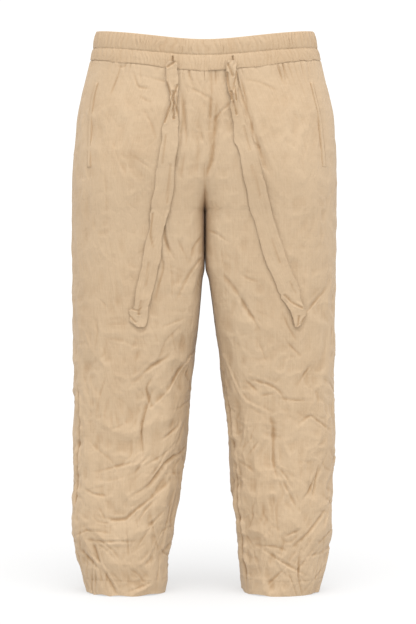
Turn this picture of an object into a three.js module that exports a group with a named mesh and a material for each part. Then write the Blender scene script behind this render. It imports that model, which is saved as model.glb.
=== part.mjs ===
// Drawstring joggers in light crinkled cotton, filled out on a general figure.
// Millimetres, +Z up. +X is the wearer's left, and the front faces -Y.
// The origin is the middle of the waist opening, level with the top of its sides.

import * as THREE from 'three';

// ---------------------------------------------------------------- driving dimensions

const CLOTH = 1.4;             // a leg panel's wall
const BAND_CLOTH = 3.0;        // the waistband's wall: two layers of cloth round elastic
const SEAM_GAP = 0.3;          // between two pieces that are sewn together
const HEM_LEVEL = -959;
const HEM_DEPTH = 26;          // the turned-up end of each leg
const HEM_CLOTH = 2.4;
const CROTCH_LEVEL = -313;
const ROUNDNESS = { front: 2.2, back: 2.4 };   // exponents: 2 is an ellipse, more is squarer

// The waist seam and the waistband's top edge, at the sides, front and back.
const WAIST_SEAM = { sides: -47, front: -81.6, back: -42 };
const WAIST_TOP = { sides: 0, front: -30.6, back: 5 };
const WAIST_TOP_RING = { half: 186.5, front: 115, back: 108, innerPower: ROUNDNESS };
const WAIST_DIP_POWER = 1.2;
const CHANNEL_LINE = { sides: 0.4, front: 0.5, back: 0.45 };   // share of the band's height

const CLOTH_COLOUR = 0xd4b898;

function table(columns, rows) {
  return rows.map((row) => Object.fromEntries(columns.map((name, i) => [name, row[i]])));
}

// One row for each level. Outer and inner are how far a leg's ring reaches from the
// centre line; front and back are how deep it is. Above the crotch the inner reach is
// negative, and the ring is cut off at the centre line, which draws the rise.
const SECTIONS = table(
  ['level', 'rightOuter', 'rightInner', 'leftOuter', 'leftInner', 'front', 'back'],
  [
    [-959, 203.0, 69.5, 193.5, 65.0, 61, 61],
    [-938, 207.5, 65.5, 200.5, 62.0, 63, 64],
    [-917, 213.0, 65.0, 206.5, 60.2, 65, 66],
    [-896, 220.0, 62.5, 210.0, 58.5, 67, 68],
    [-876, 225.4, 58.5, 213.4, 57.5, 69, 71],
    [-855, 228.5, 55.0, 216.8, 56.0, 71, 74],
    [-814, 227.5, 48.1, 217.5, 50.0, 73, 78],
    [-773, 226.5, 41.2, 218.0, 45.5, 74, 80],
    [-731, 225.4, 35.0, 221.0, 43.5, 75, 81],
    [-690, 225.2, 31.0, 222.0, 41.0, 76, 81],
    [-628, 225.0, 27.0, 222.0, 34.4, 80, 82],
    [-587, 225.2, 22.5, 222.5, 29.3, 84, 85],
    [-545, 225.5, 17.5, 223.0, 24.5, 89, 89],
    [-504, 226.5, 12.0, 222.5, 18.5, 94, 95],
    [-463, 227.0, 7.6, 223.6, 12.5, 98, 101],
    [-425, 227.5, 4.2, 223.8, 6.5, 102, 107],
    [-404, 228.3, 0.7, 224.0, 0.9, 104, 110],
    [-385, 228.2, 0.2, 224.3, 0.2, 106, 114],
    [-336, 228.0, 0.2, 225.2, 0.2, 111, 122],
    [-313, 227.8, 0.2, 225.4, 0.2, 114, 130],
    [-304, 227.6, -2.0, 225.4, -2.0, 116, 134],
    [-292, 227.4, -7.0, 225.4, -7.0, 118, 138],
    [-280, 227.2, -14.0, 225.4, -14.0, 120, 141],
    [-250, 226.4, -40.0, 225.4, -40.0, 125, 147],
    [-212, 224.2, -80.0, 225.3, -80.0, 128, 148],
    [-150, 218.5, -148.0, 220.5, -148.0, 128, 138],
    [-108, 211.5, -190.0, 213.5, -190.0, 125, 127],
    [-88, 206.5, -200.0, 208.0, -201.0, 123, 121],
    [-67, 201.0, -201.0, 203.0, -203.0, 121, 115],
    [-40, 194.0, -194.0, 196.0, -196.0, 119, 111],
  ],
);

// The exponents of a ring's inner half, which is squarer where the thighs lie together.
const INNER_ROUNDNESS = table(
  ['level', 'front', 'back'],
  [
    [-959, 2.3, 2.4],
    [-600, 2.9, 2.6],
    [-404, 4.6, 3.4],
    [-313, 5.4, 3.8],
    [-212, 4.8, 3.4],
    [-67, 3.0, 3.0],
  ],
);

// How far each seam turns forward from the outermost or innermost line, in degrees.
const SEAM_TURNS = table(
  ['level', 'rightSide', 'rightInseam', 'leftSide', 'leftInseam'],
  [
    [-959, 20, -10, -10, 27],
    [-814, 22, -9, -9, 26],
    [-731, 23, -8, -8, 25],
    [-649, 25, -7, -7, 23],
    [-545, 20, -6, -4, 18],
    [-404, 17, -3, 1, 5],
    [-313, 15, 0, 4, 0],
    [-150, 12, 0, 8, 0],
    [-40, 10, 0, 9, 0],
  ],
);

// The largest folds. A front or back fold runs from one x and level to another; a side
// or inner fold gives y in place of x. A fold of both legs crosses the centre seam.
const FOLDS = table(
  ['face', 'leg', 'from', 'fromLevel', 'to', 'toLevel', 'depth', 'halfWidth'],
  [
    ['front', 'both', 13, -140, 10, -225, 7.0, 13],
    ['front', 'both', 2, -235, 0, -296, 6.0, 14],
    ['front', 'right', -18, -114, -6, -124, 4.0, 10],
    ['front', 'right', -142, -70, -154, -108, 3.5, 9],
    ['front', 'left', 78, -180, 84, -206, 4.0, 10],
    ['front', 'right', -3, -375, -38, -440, 6.5, 14],
    ['front', 'left', 35, -423, 82, -492, 6.5, 14],
    ['front', 'right', -25, -553, -80, -629, 6.5, 14],
    ['front', 'right', -62, -555, -106, -586, 5.5, 12],
    ['front', 'right', -90, -590, -104, -706, 6.0, 13],
    ['front', 'right', -36, -716, -96, -734, 6.0, 13],
    ['front', 'right', -72, -752, -143, -798, 6.5, 14],
    ['front', 'right', -74, -779, -168, -826, 6.5, 13],
    ['front', 'right', -187, -877, -148, -950, 6.0, 13],
    ['front', 'right', -90, -830, -78, -876, 5.0, 12],
    ['front', 'right', -183, -863, -134, -864, 4.5, 11],
    ['front', 'left', 90, -597, 134, -624, 5.0, 12],
    ['front', 'left', 110, -655, 117, -745, 6.5, 14],
    ['front', 'left', 119, -748, 150, -802, 6.0, 13],
    ['front', 'left', 175, -654, 204, -674, 5.0, 12],
    ['front', 'left', 190, -830, 156, -868, 6.0, 13],
    ['front', 'left', 92, -871, 152, -913, 5.5, 12],
    ['front', 'left', 157, -908, 160, -952, 7.0, 12],
    ['back', 'right', -35, -330, -105, -385, 7.0, 16],
    ['back', 'left', 32, -335, 112, -402, 7.0, 16],
    ['back', 'right', -60, -560, -150, -600, 6.5, 14],
    ['back', 'left', 70, -590, 150, -560, 6.5, 14],
    ['back', 'right', -170, -640, -95, -690, 5.5, 13],
    ['back', 'left', 150, -660, 90, -720, 5.5, 13],
    ['back', 'right', -90, -780, -175, -830, 6.0, 13],
    ['back', 'left', 100, -800, 180, -770, 6.0, 13],
    ['back', 'left', 90, -900, 160, -870, 5.0, 12],
    ['side', 'right', -10, -600, 45, -660, 5.0, 13],
    ['side', 'right', 20, -770, -30, -830, 5.0, 12],
    ['side', 'left', -20, -630, 40, -600, 5.0, 13],
    ['side', 'left', 30, -800, -25, -850, 5.0, 12],
    ['inner', 'right', 20, -620, -25, -680, 5.0, 12],
    ['inner', 'left', -15, -720, 30, -680, 5.0, 12],
  ],
);

const FOLD_FACING = { least: 0.15, full: 0.6 };   // how squarely cloth faces a fold's view

// Grid of a leg panel. The columns past a share of them go round the leg's inner edge,
// which begins at a distance from its innermost line, or from the centre line.
const PANEL_COLUMNS = 16;
const INNER_EDGE = { share: 0.75, distance: 20 };
const RISE_ROWS = 11;
const RISE_CROWDING = 1.6;     // power that draws rows together above the crotch
const LEG_ROWS = 20;
const LEG_CROWDING = 1.25;     // and below it
const HEM_ROWS = 2;
const ARC_SAMPLES = 48;
const NEAR_CENTRE = 24;        // folds this near the centre line move the cloth in Y alone
const HALVINGS = 40;           // steps of a search for an angle
const SEAM_STEPS = 8;          // steps that settle the waist seam's level

// Small tucks below the waist seam, and the elastic's puckers at the outer hem.
const WAIST_TUCK = { height: 2.0, fade: 42, unevenness: 0.3, beat: 2.1 };
const HEM_PUCKER = { height: 1.7, columns: 6, crowding: 1.7, reach: 5 * HEM_DEPTH };

// Gathers of the waistband, on each half.
const BAND = { columns: 80, upperPuff: 3.2, lowerPuff: 2.2, topCurl: 0.86 };
const GATHER = { height: 1.5, uneven: 0.25, beat: 1.7, drift: 0.28, driftBeat: 2.3, atEdges: 0.45 };
const BAND_ROWS = [0, 0.45, 0.9, 1.1, 1.55, 2];   // 0 is the seam, 1 the channel line, 2 the top

// The pocket welts: how far the edges of each are from the centre line.
const WELT = { proud: 1.3, rows: 18 };
const WELT_COLUMNS = ['level', 'outer', 'inner'];
const WELTS = {
  right: table(WELT_COLUMNS, [
    [-95, 184.5, 178.0],
    [-127, 192.5, 185.6],
    [-156, 194.6, 187.8],
    [-193, 195.9, 189.0],
    [-239, 196.4, 189.6],
  ]),
  left: table(WELT_COLUMNS, [
    [-95, 182.0, 175.5],
    [-124, 188.3, 181.5],
    [-154, 195.0, 188.0],
    [-183, 198.4, 191.0],
    [-221, 201.8, 194.0],
    [-239, 203.0, 195.0],
  ]),
};

// The ties: the middle of each, its width and how far it lies off the panel.
const TIE_THICKNESS = 1.8;
const TIE_COLUMNS = ['x', 'level', 'width', 'lift'];
const TIES = {
  right: table(TIE_COLUMNS, [
    [-54, -67, 15, 3.4],
    [-54, -80, 19, 3.2],
    [-53, -96, 19, 2.6],
    [-51, -118, 14, 1.9],
    [-51, -136, 10, 1.4],
    [-53, -154, 20, 1.0],
    [-55, -172, 25, 0.8],
    [-58, -204, 28, 0.8],
    [-62, -228, 30, 0.8],
    [-65, -258, 31, 0.8],
    [-72, -302, 31, 0.8],
    [-76, -323, 28, 1.0],
    [-80, -343, 23, 1.1],
    [-84, -366, 26, 0.9],
    [-90, -400, 28, 0.8],
    [-97, -432, 27, 0.8],
    [-103, -457, 26, 0.8],
    [-107, -472, 25, 1.0],
    [-111, -482, 29, 1.2],
    [-110, -494, 28, 1.1],
    [-107, -505, 14, 1.0],
  ]),
  left: table(TIE_COLUMNS, [
    [44, -66, 12, 3.2],
    [43, -78, 17, 3.0],
    [44, -94, 18, 2.2],
    [46, -114, 15, 1.5],
    [48, -129, 11, 1.0],
    [51, -145, 18, 1.0],
    [56, -165, 20, 0.9],
    [60, -189, 27, 0.8],
    [67, -208, 28, 0.8],
    [76, -236, 31, 0.8],
    [84, -278, 31, 0.8],
    [97, -328, 32, 0.8],
    [111, -374, 33, 0.8],
    [124, -409, 34, 0.8],
    [135, -434, 33, 0.8],
    [143, -457, 31, 0.9],
    [150, -472, 28, 1.1],
    [155, -484, 24, 1.2],
    [157, -495, 17, 1.1],
    [157, -505, 9, 1.0],
  ]),
};
const TIE_STEP = 2;            // stations between two rows of a tie's table

// ---------------------------------------------------------------- curves and rings

const radians = THREE.MathUtils.degToRad;
const { clamp, lerp, smoothstep } = THREE.MathUtils;

// A smooth curve through a table's column, which never overshoots its points.
class Column {
  constructor(rows, key, name) {
    const sorted = [...rows].sort((a, b) => a[key] - b[key]);
    this.keys = sorted.map((row) => row[key]);
    this.values = sorted.map((row) => row[name]);
    const rises = this.keys.slice(1).map(
      (end, i) => (this.values[i + 1] - this.values[i]) / (end - this.keys[i]));
    this.slopes = this.keys.map((_, i) => {
      const before = rises[Math.max(i - 1, 0)];
      const after = rises[Math.min(i, rises.length - 1)];
      return before * after <= 0 ? 0 : (2 * before * after) / (before + after);
    });
  }

  at(key) {
    const last = this.keys.length - 1;
    const held = clamp(key, this.keys[0], this.keys[last]);
    let i = 0;
    while (i < last - 1 && held > this.keys[i + 1]) {
      i += 1;
    }
    const span = this.keys[i + 1] - this.keys[i];
    const t = (held - this.keys[i]) / span;
    const rest = 1 - t;
    return this.values[i] * (1 + 2 * t) * rest * rest
      + this.slopes[i] * span * t * rest * rest
      + this.values[i + 1] * (3 - 2 * t) * t * t
      - this.slopes[i + 1] * span * rest * t * t;
  }
}

// A dip or rise round the waist: nothing at the sides, all of it at the front or back.
function roundWaist(sizes, theta) {
  const share = Math.abs(Math.sin(theta)) ** WAIST_DIP_POWER;
  return lerp(sizes.sides, Math.sin(theta) > 0 ? sizes.front : sizes.back, share);
}

// Which quarter of a ring an angle is in: 0 is outermost, positive turns to the front.
function quarter(ring, theta) {
  const face = Math.sin(theta) >= 0 ? 'front' : 'back';
  return { face, power: Math.cos(theta) < 0 ? ring.innerPower[face] : ROUNDNESS[face] };
}

// The radius of a ring at an angle.
function ringRadius(ring, theta) {
  const { face, power } = quarter(ring, theta);
  const across = Math.abs(Math.cos(theta) / ring.half) ** power;
  const along = Math.abs(Math.sin(theta) / ring[face]) ** power;
  return (across + along) ** (-1 / power);
}

class Leg {
  constructor(name) {
    this.name = name;
    this.sign = name === 'left' ? 1 : -1;
    const column = (rows, key) => new Column(rows, 'level', key);
    this.outer = column(SECTIONS, `${name}Outer`);
    this.inner = column(SECTIONS, `${name}Inner`);
    this.front = column(SECTIONS, 'front');
    this.back = column(SECTIONS, 'back');
    this.innerPower = {
      front: column(INNER_ROUNDNESS, 'front'),
      back: column(INNER_ROUNDNESS, 'back'),
    };
    this.sideTurn = column(SEAM_TURNS, `${name}Side`);
    this.inseamTurn = column(SEAM_TURNS, `${name}Inseam`);
    this.folds = FOLDS.filter((fold) => fold.leg === name || fold.leg === 'both');
  }

  ring(level) {
    const outer = this.outer.at(level);
    const inner = this.inner.at(level);
    return {
      centre: (outer + inner) / 2,
      half: (outer - inner) / 2,
      front: this.front.at(level),
      back: this.back.at(level),
      innerPower: {
        front: this.innerPower.front.at(level),
        back: this.innerPower.back.at(level),
      },
    };
  }

  // The point at an angle, and the level way out of the cloth there.
  point(level, theta) {
    const ring = this.ring(level);
    const radius = ringRadius(ring, theta);
    const across = radius * Math.cos(theta);
    const along = radius * Math.sin(theta);
    const { face, power } = quarter(ring, theta);
    const slope = power - 1;
    const out = new THREE.Vector3(
      this.sign * Math.sign(across) * Math.abs(across / ring.half) ** slope / ring.half,
      -Math.sign(along) * Math.abs(along / ring[face]) ** slope / ring[face],
      0,
    ).normalize();
    return { at: new THREE.Vector3(this.sign * (ring.centre + across), -along, level), out };
  }

  // The angle on the front (facing 1) or back (facing -1) at a distance from the centre line.
  reachAngle(level, facing, distance) {
    const ring = this.ring(level);
    let outermost = 0;
    let innermost = Math.PI;
    for (let step = 0; step < HALVINGS; step += 1) {
      const middle = (outermost + innermost) / 2;
      const reach = ring.centre + ringRadius(ring, middle * facing) * Math.cos(middle);
      if (reach > distance) {
        outermost = middle;
      } else {
        innermost = middle;
      }
    }
    return facing * outermost;
  }

  // Where a panel starts and ends: at its side seam, and at its inseam or the centre line.
  limits(level, facing) {
    const ring = this.ring(level);
    const side = radians(this.sideTurn.at(level));
    const seam = Math.PI - facing * radians(this.inseamTurn.at(level));
    const start = side + (facing * SEAM_GAP) / 2 / ringRadius(ring, side);
    const end = facing * (seam - SEAM_GAP / 2 / ringRadius(ring, seam));
    const joined = ring.centre - ring.half < SEAM_GAP / 2;
    return [start, joined ? this.reachAngle(level, facing, SEAM_GAP / 2) : end];
  }

  // The angle at a share of the way between two others, measured along the cloth.
  between(level, start, end, share) {
    const lengths = [0];
    let before = this.point(level, start).at;
    for (let i = 1; i <= ARC_SAMPLES; i += 1) {
      const next = this.point(level, lerp(start, end, i / ARC_SAMPLES)).at;
      lengths.push(lengths[i - 1] + next.distanceTo(before));
      before = next;
    }
    const wanted = share * lengths[ARC_SAMPLES];
    let i = 1;
    while (i < ARC_SAMPLES && lengths[i] < wanted) {
      i += 1;
    }
    const part = (wanted - lengths[i - 1]) / (lengths[i] - lengths[i - 1]);
    return lerp(start, end, (i - 1 + part) / ARC_SAMPLES);
  }

  // The angle at a share of the way round the front or back, measured along the cloth.
  angle(level, facing, share) {
    const [start, end] = this.limits(level, facing);
    return this.between(level, start, end, share);
  }

  // The angle of one of a panel's columns, which are given from 0 to 1.
  columnAngle(level, facing, column) {
    const [start, end] = this.limits(level, facing);
    const edge = Math.max(this.inner.at(level), 0) + INNER_EDGE.distance;
    const turn = this.reachAngle(level, facing, edge);
    return column < INNER_EDGE.share
      ? this.between(level, start, turn, column / INNER_EDGE.share)
      : this.between(level, turn, end, (column - INNER_EDGE.share) / (1 - INNER_EDGE.share));
  }

  // How far the folds pull the cloth in at a point.
  foldDepth(at, out) {
    const views = {
      front: [at.x, -out.y],
      back: [at.x, out.y],
      side: [at.y, this.sign * out.x],
      inner: [at.y, -this.sign * out.x],
    };
    return this.folds.reduce((sum, fold) => {
      const [across, facing] = views[fold.face];
      const run = new THREE.Vector2(fold.to - fold.from, fold.toLevel - fold.fromLevel);
      const here = new THREE.Vector2(across - fold.from, at.z - fold.fromLevel);
      const along = clamp(here.dot(run) / run.lengthSq(), 0, 1);
      const away = here.sub(run.multiplyScalar(along)).length() / fold.halfWidth;
      const seen = smoothstep(facing, FOLD_FACING.least, FOLD_FACING.full);
      return sum + fold.depth * Math.exp(-away * away) * seen;
    }, 0);
  }

  // The point on the front at a distance from the centre line.
  frontPoint(x, level) {
    return this.point(level, this.reachAngle(level, 1, Math.abs(x)));
  }
}

// ---------------------------------------------------------------- walls

// A closed wall from two grids of points of one size, outside and inside.
function wall(outside, inside) {
  const rows = outside.length;
  const columns = outside[0].length;
  const points = [...outside.flat(), ...inside.flat()];
  const faces = [];
  const outer = (row, column) => row * columns + column;
  const inner = (row, column) => rows * columns + row * columns + column;
  const quad = (a, b, c, d) => faces.push(a, b, c, a, c, d);
  for (let row = 0; row < rows - 1; row += 1) {
    for (let column = 0; column < columns - 1; column += 1) {
      quad(outer(row, column), outer(row, column + 1),
        outer(row + 1, column + 1), outer(row + 1, column));
      quad(inner(row, column), inner(row + 1, column),
        inner(row + 1, column + 1), inner(row, column + 1));
    }
    quad(outer(row, 0), outer(row + 1, 0), inner(row + 1, 0), inner(row, 0));
    quad(outer(row + 1, columns - 1), outer(row, columns - 1),
      inner(row, columns - 1), inner(row + 1, columns - 1));
  }
  for (let column = 0; column < columns - 1; column += 1) {
    quad(outer(0, column + 1), outer(0, column), inner(0, column), inner(0, column + 1));
    quad(outer(rows - 1, column), outer(rows - 1, column + 1),
      inner(rows - 1, column + 1), inner(rows - 1, column));
  }
  return solid(points, faces);
}

// A mesh geometry with its faces turned out.
function solid(points, faces) {
  let volume = 0;
  for (let i = 0; i < faces.length; i += 3) {
    const [a, b, c] = [points[faces[i]], points[faces[i + 1]], points[faces[i + 2]]];
    volume += a.dot(new THREE.Vector3().crossVectors(b, c));
  }
  const turned = volume > 0 ? faces : [...faces].reverse();
  const geometry = new THREE.BufferGeometry();
  const places = new Float32Array(points.flatMap((point) => point.toArray()));
  geometry.setAttribute('position', new THREE.BufferAttribute(places, 3));
  geometry.setIndex(turned);
  geometry.computeVertexNormals();
  return geometry;
}

function moved(point, out, distance) {
  return point.clone().addScaledVector(out, distance);
}

// ---------------------------------------------------------------- leg panels

// The waist seam's level at a panel's column, given from 0 to 1.
function seamLevel(leg, facing, column) {
  let level = WAIST_SEAM.sides;
  for (let step = 0; step < SEAM_STEPS; step += 1) {
    level = roundWaist(WAIST_SEAM, leg.columnAngle(level, facing, column));
  }
  return level;
}

// Rows crowd towards the crotch, run down the leg, and end in the turned-up hem.
function panelLevels(top) {
  const hemTop = HEM_LEVEL + HEM_DEPTH;
  const levels = [];
  for (let row = 0; row < RISE_ROWS; row += 1) {
    levels.push(lerp(top, CROTCH_LEVEL, 1 - (1 - row / RISE_ROWS) ** RISE_CROWDING));
  }
  for (let row = 0; row < LEG_ROWS; row += 1) {
    levels.push(lerp(CROTCH_LEVEL, hemTop, (row / LEG_ROWS) ** LEG_CROWDING));
  }
  for (let row = 0; row <= HEM_ROWS; row += 1) {
    levels.push(lerp(hemTop, HEM_LEVEL, row / HEM_ROWS));
  }
  return levels;
}

// A height that falls by up to a share of itself as a beat goes round.
function uneven(height, share, beat) {
  return height * (1 - share + share * Math.sin(beat));
}

function legPanel(leg, facing) {
  const outside = [];
  const inside = [];
  const seams = [];
  for (let column = 0; column <= PANEL_COLUMNS; column += 1) {
    seams.push(seamLevel(leg, facing, column / PANEL_COLUMNS) - SEAM_GAP / 2);
  }
  const columnLevels = seams.map(panelLevels);
  for (let row = 0; row < columnLevels[0].length; row += 1) {
    outside.push([]);
    inside.push([]);
    for (let column = 0; column <= PANEL_COLUMNS; column += 1) {
      const level = columnLevels[column][row];
      const toHem = smoothstep(level, HEM_LEVEL, HEM_LEVEL + HEM_PUCKER.reach);
      const crowding = lerp(HEM_PUCKER.crowding, 1, toHem);
      const share = (column / PANEL_COLUMNS) ** crowding;
      const { at, out } = leg.point(level, leg.columnAngle(level, facing, share));
      const wave = column % 2 === 0 ? 1 : -1;
      const middle = Math.min(1, 4 * share * (1 - share));
      const tuck = wave * middle * uneven(WAIST_TUCK.height, WAIST_TUCK.unevenness,
        WAIST_TUCK.beat * column) * Math.exp(-(((seams[column] - level) / WAIST_TUCK.fade) ** 2));
      const puckered = column > 0 && column <= HEM_PUCKER.columns ? 1 : 0;
      const pucker = wave * puckered * HEM_PUCKER.height
        * (1 - smoothstep(level, HEM_LEVEL + HEM_DEPTH, HEM_LEVEL + 2 * HEM_DEPTH));
      const lift = tuck + pucker - leg.foldDepth(at, out);
      const way = out.clone();
      way.x *= smoothstep(Math.abs(at.x), SEAM_GAP, NEAR_CENTRE);
      const cloth = level < HEM_LEVEL + HEM_DEPTH + 1 ? HEM_CLOTH : CLOTH;
      const face = moved(at, way, lift);
      outside[row].push(face);
      inside[row].push(moved(face, out, -cloth));
    }
  }
  return wall(outside, inside);
}

// ---------------------------------------------------------------- waistband

// The band's smooth middle at an angle round the waist, and a height from 0 to 2.
function bandPoint(leg, theta, height) {
  const line = roundWaist(CHANNEL_LINE, theta);
  const share = height < 1 ? height * line : lerp(line, 1, height - 1);
  const seam = roundWaist(WAIST_SEAM, theta) + SEAM_GAP / 2;
  const foot = leg.point(seam, theta);
  const top = ringRadius(WAIST_TOP_RING, theta);
  const head = new THREE.Vector3(leg.sign * top * Math.cos(theta), -top * Math.sin(theta), 0);
  const at = foot.at.clone().lerp(head, share);
  at.z = lerp(seam, roundWaist(WAIST_TOP, theta), share);
  const puff = height < 1
    ? BAND.lowerPuff * Math.sin(Math.PI * height)
    : BAND.upperPuff * Math.sin(Math.PI * (height - 1) * BAND.topCurl);
  return { at, out: foot.out, puff };
}

function waistbandHalf(facing, legs) {
  const outside = BAND_ROWS.map(() => []);
  const inside = BAND_ROWS.map(() => []);
  for (let column = 0; column <= BAND.columns; column += 1) {
    const ends = column === 0 || column === BAND.columns;
    const drift = ends ? 0 : GATHER.drift * Math.sin(GATHER.driftBeat * column);
    const share = (column + drift) / BAND.columns;
    const leg = share < 0.5 ? legs.right : legs.left;
    const round = share < 0.5 ? 2 * share : 2 * (1 - share);
    const seam = roundWaist(WAIST_SEAM, leg.angle(WAIST_SEAM.sides, facing, round));
    const theta = leg.angle(seam, facing, round);
    const gather = (column % 2 === 0 ? 1 : -1)
      * uneven(GATHER.height, GATHER.uneven, GATHER.beat * column);
    BAND_ROWS.forEach((height, row) => {
      const { at, out, puff } = bandPoint(leg, theta, height);
      const held = height === 0 || height === 2 ? GATHER.atEdges : 1;
      outside[row].push(moved(at, out, puff + gather * held));
      inside[row].push(moved(at, out, -BAND_CLOTH));
    });
  }
  return wall(outside, inside);
}

// ---------------------------------------------------------------- pocket welts

function pocketWelt(leg, rows) {
  const outside = [];
  const inside = [];
  const outer = new Column(rows, 'level', 'outer');
  const inner = new Column(rows, 'level', 'inner');
  const [top, bottom] = [rows[0].level, rows[rows.length - 1].level];
  for (let row = 0; row <= WELT.rows; row += 1) {
    const level = lerp(top, bottom, row / WELT.rows);
    outside.push([]);
    inside.push([]);
    [0, 0.5, 1].forEach((share) => {
      const { at, out } = leg.frontPoint(lerp(outer.at(level), inner.at(level), share), level);
      outside[row].push(moved(at, out, SEAM_GAP + WELT.proud));
      inside[row].push(moved(at, out, SEAM_GAP));
    });
  }
  return wall(outside, inside);
}

// ---------------------------------------------------------------- ties

// A flat tie over the front: three points across it at each station, on both sides.
function tie(leg, rows) {
  const numbered = rows.map((row, index) => ({ ...row, index }));
  const columns = Object.fromEntries(
    TIE_COLUMNS.map((name) => [name, new Column(numbered, 'index', name)]));
  const outside = [];
  const inside = [];
  const stations = (rows.length - 1) * TIE_STEP;
  for (let station = 0; station <= stations; station += 1) {
    const index = station / TIE_STEP;
    const [x, level, width, lift] = TIE_COLUMNS.map((name) => columns[name].at(index));
    const before = Math.max(index - 0.5, 0);
    const after = Math.min(index + 0.5, rows.length - 1);
    const run = new THREE.Vector2(
      columns.x.at(after) - columns.x.at(before),
      columns.level.at(after) - columns.level.at(before),
    ).normalize();
    outside.push([]);
    inside.push([]);
    [-0.5, 0, 0.5].forEach((share) => {
      const acrossX = x - run.y * width * share;
      const acrossLevel = level + run.x * width * share;
      const { at, out } = leg.frontPoint(acrossX, acrossLevel);
      outside[station].push(moved(at, out, lift + TIE_THICKNESS));
      inside[station].push(moved(at, out, lift));
    });
  }
  return wall(outside, inside);
}

// ---------------------------------------------------------------- the joggers

const joggers = new THREE.Group();

function add(name, geometry) {
  const cloth = new THREE.MeshStandardMaterial({
    color: CLOTH_COLOUR, roughness: 0.85, metalness: 0,
  });
  const piece = new THREE.Mesh(geometry, cloth);
  piece.name = name;
  joggers.add(piece);
}

const legs = { right: new Leg('right'), left: new Leg('left') };
Object.values(legs).forEach((leg) => {
  add(`front_${leg.name}`, legPanel(leg, 1));
  add(`back_${leg.name}`, legPanel(leg, -1));
  add(`pocket_welt_${leg.name}`, pocketWelt(leg, WELTS[leg.name]));
  add(`tie_${leg.name}`, tie(leg, TIES[leg.name]));
});
add('waistband_front', waistbandHalf(1, legs));
add('waistband_back', waistbandHalf(-1, legs));

export default joggers;
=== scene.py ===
import logging
import math
from dataclasses import dataclass, field
from enum import Enum
from typing import Any, Iterable, Sequence

import bpy
import numpy as np
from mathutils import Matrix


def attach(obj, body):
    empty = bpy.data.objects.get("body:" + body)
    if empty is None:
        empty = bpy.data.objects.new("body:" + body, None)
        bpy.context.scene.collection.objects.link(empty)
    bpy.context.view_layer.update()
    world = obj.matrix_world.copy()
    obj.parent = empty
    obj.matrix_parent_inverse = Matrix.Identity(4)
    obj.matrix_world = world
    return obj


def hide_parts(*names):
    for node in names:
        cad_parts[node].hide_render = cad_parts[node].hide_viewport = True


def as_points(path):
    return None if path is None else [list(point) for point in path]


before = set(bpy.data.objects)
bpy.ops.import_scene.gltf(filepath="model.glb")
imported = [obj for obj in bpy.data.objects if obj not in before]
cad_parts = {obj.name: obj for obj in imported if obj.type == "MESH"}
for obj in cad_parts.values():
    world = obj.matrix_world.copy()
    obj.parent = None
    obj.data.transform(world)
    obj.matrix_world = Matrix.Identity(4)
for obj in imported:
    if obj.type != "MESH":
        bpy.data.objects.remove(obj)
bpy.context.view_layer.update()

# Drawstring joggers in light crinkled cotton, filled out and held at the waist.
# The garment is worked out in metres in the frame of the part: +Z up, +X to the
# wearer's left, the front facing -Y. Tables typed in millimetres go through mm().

LOG = logging.getLogger("joggers")

Array = np.ndarray


def mm(values: Any) -> Array:
    """Turns numbers typed in millimetres into an array in metres.

    Args:
        values: a number, or rows of numbers.

    Returns:
        The same numbers in metres.
    """
    return np.asarray(values, dtype=float) / 1000.0


# ---------- the garment's sizes

HEM_LEVEL = -0.959
HEM_DEPTH = 0.026              # the turned-up end of each leg
NEAR_CENTRE = 0.024            # folds this near the centre line move the cloth in Y alone
CLOTH = 0.0009                 # one layer of the cotton
HEM_CLOTH = 0.0022             # the hem's layers
BAND_CLOTH = 0.003             # the waistband: cloth round elastic
WAIST_DIP_POWER = 1.2
ROUNDNESS = {"front": 2.2, "back": 2.4}     # exponents: 2 is an ellipse, more is squarer
CROTCH_RANGE = (-0.336, -0.280)             # where the legs' rings start to meet
BAND_FOOT = -0.03              # the level up to which the panels' angles are tabled
HALVINGS = 40                  # steps of each search by halving
FAR = 9.0                      # further than any distance on the garment

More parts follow.
